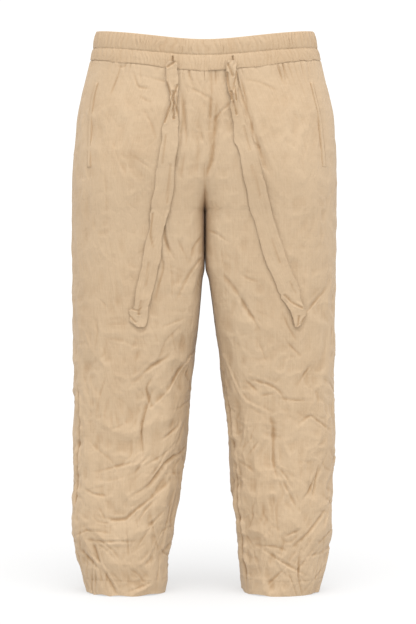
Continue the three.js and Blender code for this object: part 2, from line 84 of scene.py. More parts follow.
# One row for each level, in millimetres. Outer and inner are how far a leg's ring
# reaches from the centre line; front and back are how deep it is.
SECTION_COLUMNS = ("level", "rightOuter", "rightInner", "leftOuter", "leftInner", "front", "back")
SECTIONS = mm([
    (-959, 203.0, 69.5, 193.5, 65.0, 61, 61),
    (-938, 207.5, 65.5, 200.5, 62.0, 63, 64),
    (-917, 213.0, 65.0, 206.5, 60.2, 65, 66),
    (-896, 220.0, 62.5, 210.0, 58.5, 67, 68),
    (-876, 225.4, 58.5, 213.4, 57.5, 69, 71),
    (-855, 228.5, 55.0, 216.8, 56.0, 71, 74),
    (-814, 227.5, 48.1, 217.5, 50.0, 73, 78),
    (-773, 226.5, 41.2, 218.0, 45.5, 74, 80),
    (-731, 225.4, 35.0, 221.0, 43.5, 75, 81),
    (-690, 225.2, 31.0, 222.0, 41.0, 76, 81),
    (-628, 225.0, 27.0, 222.0, 34.4, 80, 82),
    (-587, 225.2, 22.5, 222.5, 29.3, 84, 85),
    (-545, 225.5, 17.5, 223.0, 24.5, 89, 89),
    (-504, 226.5, 12.0, 222.5, 18.5, 94, 95),
    (-463, 227.0, 7.6, 223.6, 12.5, 98, 101),
    (-425, 227.5, 4.2, 223.8, 6.5, 102, 107),
    (-404, 228.3, 0.5, 224.0, 0.6, 104, 110),
    (-385, 228.2, 0.02, 224.3, 0.02, 106, 114),
    (-336, 228.0, 0.02, 225.2, 0.02, 111, 122),
    (-313, 227.8, 0.02, 225.4, 0.02, 114, 130),
    (-304, 227.6, -2.0, 225.4, -2.0, 116, 134),
    (-292, 227.4, -7.0, 225.4, -7.0, 118, 138),
    (-280, 227.2, -14.0, 225.4, -14.0, 120, 141),
    (-250, 226.4, -40.0, 225.4, -40.0, 125, 147),
    (-212, 224.2, -80.0, 225.3, -80.0, 128, 148),
    (-150, 218.5, -148.0, 220.5, -148.0, 128, 138),
    (-108, 211.5, -190.0, 213.5, -190.0, 125, 127),
    (-88, 206.5, -200.0, 208.0, -201.0, 123, 121),
    (-67, 201.0, -201.0, 203.0, -203.0, 121, 115),
    (-40, 194.0, -194.0, 196.0, -196.0, 119, 111),
])

# The exponents of a ring's inner half, which is squarer where the thighs lie together.
# The level is in millimetres.
INNER_ROUNDNESS_COLUMNS = ("level", "front", "back")
INNER_ROUNDNESS = [
    (-959, 2.3, 2.4),
    (-600, 2.9, 2.6),
    (-404, 6.2, 3.4),
    (-313, 7.2, 3.8),
    (-212, 5.4, 3.4),
    (-67, 3.0, 3.0),
]

# How far each seam turns forward from the outermost or innermost line, in degrees,
# at a level in millimetres.
SEAM_TURN_COLUMNS = ("level", "rightSide", "rightInseam", "leftSide", "leftInseam")
SEAM_TURNS = [
    (-959, 20, -10, -10, 27),
    (-814, 22, -9, -9, 26),
    (-731, 23, -8, -8, 25),
    (-649, 25, -7, -7, 23),
    (-545, 20, -6, -4, 18),
    (-404, 17, -3, 1, 5),
    (-313, 15, 0, 4, 0),
    (-150, 12, 0, 8, 0),
    (-40, 10, 0, 9, 0),
]

# The seam of each leg that shows drawn in, the right side seam and the left inseam: the
# levels between which it sets in at its lower end, and fades at its upper end.
PULLED_SEAMS = {
    "right": mm([-820, -770, -640, -600]),
    "left": mm([-955, -900, -600, -530]),
}

# The pocket welts: the level, and how far the outer and the inner edge are from the
# centre line there.
WELTS = {
    "right": mm([
        (-95, 184.5, 178.0),
        (-127, 192.5, 185.6),
        (-156, 194.6, 187.8),
        (-193, 195.9, 189.0),
        (-239, 196.4, 189.6),
    ]),
    "left": mm([
        (-95, 182.0, 175.5),
        (-124, 188.3, 181.5),
        (-154, 195.0, 188.0),
        (-183, 198.4, 191.0),
        (-221, 201.8, 194.0),
        (-239, 203.0, 195.0),
    ]),
}

# The ties' middle lines from the buttonhole down, in metres: x, level, the width there
# and how far the tie lies off the panel.
TIE_COLUMNS = ("x", "level", "width", "lift")
TIE_ROUTES = {
    "right": [
        (-0.054, -0.067, 0.015, 0.0034),
        (-0.054, -0.080, 0.019, 0.0032),
        (-0.053, -0.096, 0.019, 0.0026),
        (-0.051, -0.118, 0.014, 0.0019),
        (-0.051, -0.136, 0.010, 0.0014),
        (-0.053, -0.154, 0.020, 0.0010),
        (-0.055, -0.172, 0.025, 0.0008),
        (-0.058, -0.204, 0.028, 0.0008),
        (-0.062, -0.228, 0.030, 0.0008),
        (-0.065, -0.258, 0.031, 0.0008),
        (-0.072, -0.302, 0.031, 0.0008),
        (-0.076, -0.323, 0.028, 0.0010),
        (-0.080, -0.343, 0.023, 0.0011),
        (-0.084, -0.366, 0.026, 0.0009),
        (-0.090, -0.400, 0.028, 0.0008),
        (-0.097, -0.432, 0.027, 0.0008),
        (-0.103, -0.457, 0.026, 0.0008),
        (-0.107, -0.472, 0.025, 0.0010),
        (-0.111, -0.482, 0.029, 0.0012),
        (-0.110, -0.494, 0.028, 0.0011),
        (-0.107, -0.505, 0.014, 0.0010),
    ],
    "left": [
        (0.044, -0.066, 0.012, 0.0032),
        (0.043, -0.078, 0.017, 0.0030),
        (0.044, -0.094, 0.018, 0.0022),
        (0.046, -0.114, 0.015, 0.0015),
        (0.048, -0.129, 0.011, 0.0010),
        (0.051, -0.145, 0.018, 0.0010),
        (0.056, -0.165, 0.020, 0.0009),
        (0.060, -0.189, 0.027, 0.0008),
        (0.067, -0.208, 0.028, 0.0008),
        (0.076, -0.236, 0.031, 0.0008),
        (0.084, -0.278, 0.031, 0.0008),
        (0.097, -0.328, 0.032, 0.0008),
        (0.111, -0.374, 0.033, 0.0008),
        (0.124, -0.409, 0.034, 0.0008),
        (0.135, -0.434, 0.033, 0.0008),
        (0.143, -0.457, 0.031, 0.0009),
        (0.150, -0.472, 0.028, 0.0011),
        (0.155, -0.484, 0.024, 0.0012),
        (0.157, -0.495, 0.017, 0.0011),
        (0.157, -0.505, 0.009, 0.0010),
    ],
}

# The ties' folded tips: level, and the two edges' x, in millimetres.
TIE_TIPS = {
    "right": mm([
        (-457, -115.3, -88.9),
        (-470, -116.9, -93.3),
        (-474, -121.0, -93.5),
        (-478, -126.0, -93.8),
        (-487, -124.3, -94.6),
        (-495, -125.7, -95.9),
        (-500, -119.4, -96.9),
        (-505, -112.8, -99.6),
    ]),
    "left": mm([
        (-457, 125.7, 157.8),
        (-465, 133.1, 160.3),
        (-473, 138.0, 163.6),
        (-480, 142.2, 166.6),
        (-485, 143.8, 166.9),
        (-490, 145.5, 164.4),
        (-497, 147.1, 161.1),
        (-502, 148.1, 157.8),
        (-506, 149.1, 152.9),
    ]),
}

# Folds in the ties: the depth, the half-width, and points as x and level, in millimetres.
TIE_FOLDS = {
    "right": [
        (1.8, 1.8, [(-61, -77), (-49, -69)]),
        (3.0, 1.6, [(-52, -118), (-51, -134), (-51, -163)]),
        (2.4, 1.7, [(-45, -108), (-51, -125), (-58, -146), (-66, -169)]),
        (2.2, 1.6, [(-62, -103), (-55, -125), (-48, -141), (-42, -162)]),
        (1.6, 1.4, [(-47, -118), (-46, -138), (-48, -156)]),
        (0.9, 1.8, [(-64, -190), (-70, -236)]),
        (0.8, 2.0, [(-56, -238), (-60, -275), (-62, -300)]),
        (1.3, 1.8, [(-86, -318), (-90, -352), (-86, -372)]),
        (0.8, 1.8, [(-93, -398), (-98, -436)]),
        (1.6, 1.6, [(-105, -462), (-110, -484)]),
        (1.3, 1.5, [(-124, -487), (-115, -497)]),
        (1.0, 1.5, [(-121, -475), (-108, -479)]),
    ],
    "left": [
        (1.8, 1.8, [(37, -72), (46, -92)]),
        (2.8, 1.8, [(36, -88), (39, -110), (43, -131)]),
        (2.2, 1.5, [(52, -84), (48, -104), (43, -130)]),
        (2.4, 1.5, [(43, -118), (47, -134), (52, -156)]),
        (1.4, 1.4, [(49, -110), (51, -132)]),
        (0.9, 1.8, [(64, -176), (74, -214)]),
        (0.8, 2.0, [(78, -240), (90, -290)]),
        (0.8, 1.8, [(112, -360), (124, -398)]),
        (1.6, 1.7, [(132, -452), (144, -464), (160, -473)]),
        (1.3, 1.5, [(155, -487), (154, -502)]),
        (1.1, 1.4, [(165, -489), (157, -500)]),
        (0.9, 1.5, [(140, -430), (150, -448)]),
    ],
}

# Creases seen from the front: the leg, the depth (a ridge is below nothing), the
# half-width, and points as x and level. All in millimetres.
FRONT_CREASES = [
    # broad soft dips
    ("left", 1.6, 16, [(19, -105), (20, -150), (12, -195)]),
    ("right", 1.8, 14, [(-11, -190), (-12, -240), (-7, -290)]),
    ("right", 1.8, 16, [(-44, -140), (-45, -200), (-50, -265)]),
    ("left", 1.8, 14, [(31, -95), (36, -125), (42, -160)]),
    ("right", 2.2, 26, [(-38, -520), (-46, -600), (-55, -680), (-62, -760)]),
    ("left", 2.2, 24, [(36, -480), (50, -600), (60, -700), (68, -800), (72, -900)]),
    ("right", 2.0, 22, [(-150, -815), (-110, -800), (-70, -770)]),
    # under the waistband and on the hips
    ("right", 1.5, 3.5, [(-142, -72), (-135, -73), (-129, -68)]),
    ("right", 3.0, 4.5, [(-142, -75), (-147, -90), (-153, -106)]),
    ("right", 1.6, 3.0, [(-106, -76), (-106, -91)]),
    ("right", 2.0, 4.0, [(-115, -93), (-109, -108), (-99, -110)]),
    ("right", 1.2, 4.0, [(-102, -91), (-86, -95), (-69, -100)]),
    ("right", 1.6, 3.0, [(-26, -80), (-25, -90), (-21, -100)]),
    ("both", 2.6, 4.5, [(-20, -113), (-8, -118), (5, -126)]),
    ("both", 1.4, 2.5, [(-8, -81), (-5, -91)]),
    ("both", 2.2, 3.0, [(18, -78), (18, -96)]),
    ("both", 1.8, 4.0, [(17, -163), (25, -153), (35, -143)]),
    ("both", 3.4, 5.5, [(11, -84), (11, -110), (10, -135), (8, -160), (6, -186)]),
    ("both", 7.0, 11.0, [(16, -178), (13, -224), (3, -250), (0, -290)]),
    ("right", 2.6, 7.0, [(-38, -126), (-36, -152), (-39, -186)]),
    ("right", 2.4, 6.0, [(-34, -150), (-30, -196), (-36, -236)]),
    ("left", 3.0, 7.0, [(70, -150), (78, -178), (88, -206), (100, -236)]),
    ("left", 2.0, 5.0, [(52, -88), (58, -112), (66, -138)]),
    ("left", 2.0, 3.5, [(61, -106), (65, -121), (68, -136)]),
    ("left", 1.8, 4.0, [(68, -160), (73, -179)]),
    ("left", 1.2, 4.0, [(78, -98), (93, -101), (108, -108)]),
    ("left", 1.6, 3.0, [(123, -81), (128, -96)]),
    ("left", 1.6, 3.0, [(131, -76), (134, -93)]),
    ("left", 2.6, 4.5, [(78, -176), (79, -199), (86, -206)]),
    ("left", 2.0, 4.0, [(86, -213), (91, -227), (96, -242)]),
    ("both", 1.8, 5.0, [(-6, -183), (-3, -196), (2, -209)]),
    ("right", 1.0, 4.0, [(-106, -126), (-99, -131), (-91, -135)]),
    ("right", 1.6, 5.0, [(-96, -155), (-89, -168), (-84, -183)]),
    ("right", 1.2, 4.0, [(-110, -229), (-97, -239)]),
    ("right", 1.0, 5.0, [(-148, -213), (-139, -239)]),
    ("right", 1.0, 5.0, [(-164, -271), (-162, -306)]),
    # right thigh
    ("right", 3.0, 5.0, [(-68, -332), (-65, -354), (-61, -375)]),
    ("right", 2.4, 4.0, [(-65, -362), (-55, -384)]),
    ("right", 2.2, 5.0, [(-1, -347), (-11, -360), (-20, -375), (-23, -390)]),
    ("right", 3.2, 5.0, [(-1, -380), (-11, -397), (-21, -410), (-37, -440)]),
    ("right", 1.8, 4.0, [(-10, -435), (-20, -415)]),
    ("right", 2.0, 4.0, [(-71, -390), (-68, -403), (-76, -435)]),
    ("right", 1.6, 5.0, [(-58, -397), (-55, -420), (-55, -443)]),
    ("right", 1.4, 4.0, [(-41, -369), (-35, -380), (-31, -390)]),
    ("right", 1.2, 4.0, [(-176, -458), (-167, -467)]),
    ("right", 1.2, 5.0, [(-181, -367), (-174, -385)]),
    ("right", 1.6, 6.0, [(-182, -498), (-179, -513), (-182, -535)]),
    ("right", 1.8, 4.0, [(-62, -502), (-50, -497), (-40, -493)]),
    ("right", 2.4, 5.0, [(-50, -512), (-67, -528), (-75, -552)]),
    ("right", 1.6, 4.0, [(-53, -518), (-48, -544)]),
    ("right", 1.0, 4.0, [(-102, -527), (-93, -547)]),
    ("right", 1.0, 4.0, [(-88, -507), (-80, -523)]),
    # right knee and calf
    ("right", 3.8, 5.5, [(-63, -555), (-75, -562), (-85, -567), (-105, -585)]),
    ("right", 4.2, 6.0, [(-25, -555), (-37, -572), (-45, -585), (-62, -611), (-79, -628)]),
    ("right", 3.2, 4.5, [(-87, -589), (-95, -599), (-98, -607), (-93, -626)]),
    ("right", 4.0, 5.0, [(-93, -628), (-100, -651), (-106, -681), (-104, -707)]),
    ("right", 1.2, 5.0, [(-167, -594), (-174, -614), (-179, -636)]),
    ("right", 1.0, 5.0, [(-151, -643), (-147, -665)]),
    ("right", 1.8, 4.0, [(-54, -643), (-43, -641), (-33, -634)]),
    ("right", 2.2, 4.0, [(-50, -678), (-59, -685), (-67, -691)]),
    ("right", 2.0, 4.0, [(-168, -744), (-144, -737), (-126, -733)]),
    ("right", 2.4, 4.0, [(-98, -725), (-107, -734), (-114, -745)]),
    ("right", 2.4, 4.5, [(-54, -705), (-70, -720), (-94, -733)]),
    ("right", 2.6, 4.0, [(-67, -718), (-75, -735), (-84, -749)]),
    ("right", 4.6, 6.0, [(-35, -713), (-55, -725), (-67, -734), (-80, -752), (-92, -767),
                         (-107, -779), (-124, -789), (-131, -796)]),
    ("right", 3.2, 4.5, [(-74, -779), (-94, -796), (-117, -813), (-134, -828), (-148, -830),
                         (-170, -825)]),
    # right ankle
    ("right", 1.8, 4.0, [(-92, -804), (-101, -814), (-108, -825)]),
    ("right", 1.8, 4.0, [(-176, -813), (-168, -828)]),
    ("right", 2.0, 4.0, [(-195, -781), (-183, -786), (-170, -787)]),
    ("right", 2.4, 4.0, [(-210, -855), (-197, -848), (-175, -850)]),
    ("right", 2.0, 4.0, [(-210, -847), (-212, -872)]),
    ("right", 2.8, 4.0, [(-183, -864), (-160, -865), (-134, -864)]),
    ("right", 2.0, 4.0, [(-175, -865), (-156, -879), (-146, -891)]),
    ("right", 4.0, 6.0, [(-188, -872), (-182, -889), (-175, -910), (-163, -928), (-148, -958)]),
    ("right", 1.8, 4.0, [(-131, -848), (-128, -884)]),
    ("right", 1.8, 4.0, [(-92, -843), (-107, -865)]),
    ("right", 3.0, 7.0, [(-89, -830), (-84, -855), (-79, -875)]),
    ("right", 1.8, 8.0, [(-62, -830), (-72, -872)]),
    ("right", 2.0, 4.0, [(-72, -882), (-62, -899)]),
    ("right", 2.2, 4.0, [(-126, -913), (-114, -920), (-103, -935), (-96, -939)]),
    ("right", 1.6, 4.0, [(-119, -947), (-98, -940)]),
    ("right", 1.8, 4.0, [(-79, -918), (-83, -952)]),
    # the gathers of the elastic at the outer ends of both hems
    ("right", 4.8, 6.5, [(-207, -886), (-197, -896), (-187, -904), (-179, -912), (-175, -921),
                         (-177, -945)]),
    ("right", 2.8, 3.6, [(-190, -910), (-192, -945)]),
    ("right", 2.6, 3.4, [(-184, -916), (-185, -950)]),
    ("right", 2.2, 3.2, [(-199, -906), (-198, -940)]),
    ("right", 1.8, 3.2, [(-166, -926), (-168, -952)]),
    ("left", 1.8, 3.2, [(190, -915), (184, -948)]),
    ("left", 1.6, 3.0, [(182, -925), (177, -952)]),
    # left thigh
    ("left", 2.0, 4.0, [(10, -346), (22, -352), (33, -360)]),
    ("left", 1.6, 5.0, [(23, -364), (27, -387)]),
    ("left", -2.5, 5.0, [(23, -357), (27, -397), (30, -430)]),
    ("left", 3.4, 6.0, [(35, -423), (50, -440), (64, -463), (80, -490)]),
    ("left", 1.6, 4.0, [(63, -420), (72, -425), (82, -428)]),
    ("left", 2.2, 5.0, [(195, -452), (182, -467), (170, -480)]),
    ("left", 2.0, 4.0, [(130, -485), (137, -502), (146, -518)]),
    ("left", 1.6, 4.0, [(136, -527), (144, -537), (154, -547)]),
    ("left", 1.4, 4.0, [(94, -542), (99, -555)]),
    # left knee and calf
    ("left", 3.0, 4.5, [(89, -596), (111, -603), (129, -618), (133, -626)]),
    ("left", 2.2, 4.0, [(133, -626), (151, -628), (169, -629)]),
    ("left", 2.0, 4.0, [(72, -597), (82, -606)]),
    ("left", 2.0, 4.0, [(172, -576), (164, -587), (158, -597)]),
    ("left", 1.8, 4.0, [(100, -619), (112, -617)]),
    ("left", 2.4, 4.0, [(163, -663), (175, -654), (190, -663), (203, -674)]),
    ("left", 3.6, 5.5, [(109, -654), (114, -671), (114, -703), (114, -734), (123, -760)]),
    ("left", -2.0, 5.0, [(39, -569), (52, -602), (67, -629), (96, -644)]),
    ("left", -2.0, 4.0, [(69, -659), (66, -691), (59, -718)]),
    ("left", 2.0, 4.0, [(60, -734), (69, -739), (77, -745)]),
    ("left", 1.6, 4.0, [(57, -760), (67, -759), (77, -760)]),
    ("left", 1.8, 4.0, [(123, -742), (133, -752), (140, -766)]),
    ("left", 2.8, 4.5, [(131, -762), (140, -782), (150, -801)]),
    ("left", 2.2, 4.0, [(188, -752), (183, -776)]),
    ("left", 2.0, 4.0, [(182, -762), (174, -779), (165, -791)]),
    # left ankle
    ("left", 1.8, 4.0, [(117, -806), (121, -838)]),
    ("left", 3.2, 5.0, [(190, -830), (172, -852), (155, -867)]),
    ("left", 2.0, 4.0, [(209, -857), (194, -870)]),
    ("left", 2.0, 6.0, [(212, -804), (204, -830)]),
    ("left", 1.8, 4.0, [(141, -853), (155, -847)]),
    ("left", 1.8, 4.0, [(175, -867), (167, -881)]),
    ("left", 2.0, 4.0, [(189, -886), (180, -894)]),
    ("left", 1.8, 4.0, [(93, -872), (110, -872), (128, -876), (138, -881)]),
    ("left", 2.8, 4.5, [(103, -882), (120, -894), (152, -913)]),
    ("left", 1.8, 4.0, [(130, -915), (113, -932)]),
    ("left", 4.0, 3.5, [(158, -901), (157, -923), (162, -949)]),
    ("left", 2.6, 3.0, [(145, -930), (154, -956)]),
    ("left", 2.2, 4.0, [(160, -908), (169, -896), (177, -884)]),
    ("left", 1.8, 4.0, [(169, -891), (190, -889)]),
    ("left", 1.6, 4.0, [(194, -923), (174, -944)]),
    ("left", 1.6, 4.0, [(201, -906), (194, -928)]),
]

# Creases of the hidden sides: the leg, the depth, the half-width, and points as an
# angle round the leg (0 outermost, 90 the front, -90 the back, 180 innermost) and a
# level in millimetres.
ROUND_CREASES = [
    ("right", 3.4, 6.0, [(-128, -330), (-112, -352), (-96, -372), (-84, -385)]),
    ("left", 3.4, 6.0, [(-130, -335), (-114, -360), (-98, -384), (-82, -402)]),
    ("right", 2.4, 5.0, [(-140, -350), (-128, -378), (-118, -398)]),
    ("left", 2.2, 5.0, [(-142, -356), (-130, -388)]),
    ("right", 2.0, 5.0, [(-70, -250), (-64, -290), (-62, -330)]),
    ("left", 2.0, 5.0, [(-66, -240), (-60, -276), (-58, -318)]),
    ("right", 4.0, 6.0, [(-120, -560), (-100, -572), (-80, -585), (-55, -600)]),
    ("left", 4.0, 6.0, [(-118, -590), (-98, -580), (-78, -568), (-56, -560)]),
    ("right", 3.4, 5.0, [(-50, -612), (-66, -630), (-88, -652), (-104, -690)]),
    ("left", 3.4, 5.0, [(-52, -640), (-70, -660), (-92, -690), (-112, -720)]),
    ("right", 3.0, 5.0, [(-140, -620), (-120, -640), (-104, -668)]),
    ("left", 3.0, 5.0, [(-142, -640), (-126, -652), (-108, -650)]),
    ("right", 4.2, 6.0, [(-128, -760), (-106, -778), (-84, -800), (-62, -830)]),
    ("left", 4.2, 6.0, [(-120, -800), (-100, -792), (-76, -780), (-54, -770)]),
    ("right", 3.2, 5.0, [(-60, -730), (-78, -745), (-98, -750), (-118, -742)]),
    ("left", 3.2, 5.0, [(-56, -815), (-74, -830), (-96, -836), (-112, -850)]),
    ("right", 3.0, 5.0, [(-116, -850), (-94, -862), (-72, -858)]),
    ("left", 3.0, 5.0, [(-60, -868), (-84, -880), (-104, -898)]),
    ("right", 3.4, 4.5, [(-86, -890), (-80, -920), (-76, -955)]),
    ("left", 3.4, 4.5, [(-100, -905), (-106, -930), (-104, -956)]),
    ("right", 3.4, 5.0, [(-24, -600), (0, -622), (22, -655)]),
    ("left", 3.4, 5.0, [(-20, -632), (4, -618), (28, -600)]),
    ("right", 3.2, 5.0, [(20, -705), (0, -730), (-22, -742)]),
    ("left", 3.0, 5.0, [(-30, -700), (-6, -712), (16, -735)]),
    ("right", 3.4, 5.0, [(16, -772), (-6, -800), (-30, -832)]),
    ("left", 3.4, 5.0, [(24, -800), (0, -822), (-24, -850)]),
    ("right", 2.8, 4.5, [(-30, -880), (-6, -868), (18, -872)]),
    ("left", 2.8, 4.5, [(-28, -890), (-6, -880), (20, -884)]),
    ("right", 3.0, 5.0, [(160, -600), (180, -640), (205, -690)]),
    ("left", 3.0, 5.0, [(206, -640), (184, -690), (160, -730)]),
    ("right", 3.0, 5.0, [(160, -720), (184, -752), (212, -770)]),
    ("left", 3.0, 5.0, [(160, -780), (186, -800), (210, -830)]),
    ("right", 2.8, 4.5, [(206, -830), (184, -860), (160, -880)]),
    ("left", 2.8, 4.5, [(204, -870), (180, -888), (158, -910)]),
    ("right", 1.8, 5.0, [(-12, -330), (-10, -380), (-14, -440)]),
    ("left", 1.8, 5.0, [(-12, -300), (-8, -360), (-12, -430)]),
    ("right", 1.8, 5.0, [(8, -420), (12, -470), (8, -530)]),
    ("left", 1.8, 5.0, [(10, -400), (14, -450), (10, -520)]),
]


# ---------- curves and rings

def smoothstep(value: Array, low: float, high: float) -> Array:
    """Rises smoothly from 0 at low to 1 at high: 3t squared less 2t cubed.

    Args:
        value: where to read it.
        low: where it leaves 0.
        high: where it reaches 1.

    Returns:
        Shares from 0 to 1.
    """
    t = np.clip((value - low) / (high - low), 0.0, 1.0)
    return t * t * (3 - 2 * t)


class Column:
    """A smooth curve through a table's column, which never overshoots its points."""

    def __init__(self, keys: Sequence[float], values: Sequence[float]) -> None:
        """Sorts the points and works out the slope at each.

        Args:
            keys: where the points are.
            values: the curve's values there.
        """
        order = np.argsort(keys)
        self.keys = np.asarray(keys, dtype=float)[order]
        self.values = np.asarray(values, dtype=float)[order]
        rises = np.diff(self.values) / np.diff(self.keys)
        before = np.concatenate([rises[:1], rises])
        after = np.concatenate([rises, rises[-1:]])
        product = before * after
        total = np.where(product > 0, before + after, 1.0)
        self.slopes = np.where(product > 0, 2 * product / total, 0.0)

    def at(self, key: Array) -> Array:
        """The curve's value: a cubic between neighbours, with the slopes at both ends.

        Args:
            key: where to read it.

        Returns:
            The values there, held at both ends of the table.
        """
        held = np.clip(key, self.keys[0], self.keys[-1])
        i = np.clip(np.searchsorted(self.keys, held) - 1, 0, len(self.keys) - 2)
        span = self.keys[i + 1] - self.keys[i]
        t = (held - self.keys[i]) / span
        rest = 1 - t
        return (self.values[i] * (1 + 2 * t) * rest * rest
                + self.slopes[i] * span * t * rest * rest
                + self.values[i + 1] * (3 - 2 * t) * t * t
                - self.slopes[i + 1] * span * rest * t * t)


@dataclass(frozen=True)
class Around:
    """A size that differs at the sides, the front and the back of the waist."""

    sides: float
    front: float
    back: float

    def at(self, theta: Array) -> Array:
        """The size at an angle: the sides' size, and more of the front's or back's by sine.

        Args:
            theta: the angle round the waist, 0 outermost, positive to the front.

        Returns:
            The sizes there.
        """
        share = np.abs(np.sin(theta)) ** WAIST_DIP_POWER
        face = np.where(np.sin(theta) > 0, self.front, self.back)
        return self.sides + (face - self.sides) * share


WAIST_SEAM = Around(-0.047, -0.0816, -0.042)
WAIST_TOP = Around(0.0, -0.0306, 0.005)
CHANNEL_LINE = Around(0.4, 0.5, 0.45)         # share of the band's height
BUTTONHOLES = mm([(-53, -59, -68), (46, -59, -71)])     # x, upper and lower end


class Face(Enum):
    """The front or the back of the garment."""

    FRONT = 1
    BACK = -1


@dataclass(frozen=True)
class Ring:
    """A level ring round a leg, with an exponent for each quarter."""

    centre: Array
    half: Array
    front: Array
    back: Array
    inner_front: Array
    inner_back: Array

    def quarter(self, theta: Array) -> tuple[Array, Array]:
        """The ring's depth and exponent at an angle.

        Args:
            theta: angle, 0 outermost, positive to the front.

        Returns:
            The depth and the exponent.
        """
        forward = np.sin(theta) >= 0
        inner = np.where(forward, self.inner_front, self.inner_back)
        outer = np.where(forward, ROUNDNESS["front"], ROUNDNESS["back"])
        return np.where(forward, self.front, self.back), np.where(np.cos(theta) < 0, inner, outer)

    def radius(self, theta: Array) -> Array:
        """The radius: one over the root of the cosine's and sine's powers.

        Args:
            theta: angle.

        Returns:
            The radii.
        """
        depth, power = self.quarter(theta)
        across = np.abs(np.cos(theta) / self.half) ** power
        along = np.abs(np.sin(theta) / depth) ** power
        return (across + along) ** (-1 / power)


WAIST_TOP_RING = Ring(0.0, 0.1865, 0.115, 0.108, ROUNDNESS["front"], ROUNDNESS["back"])


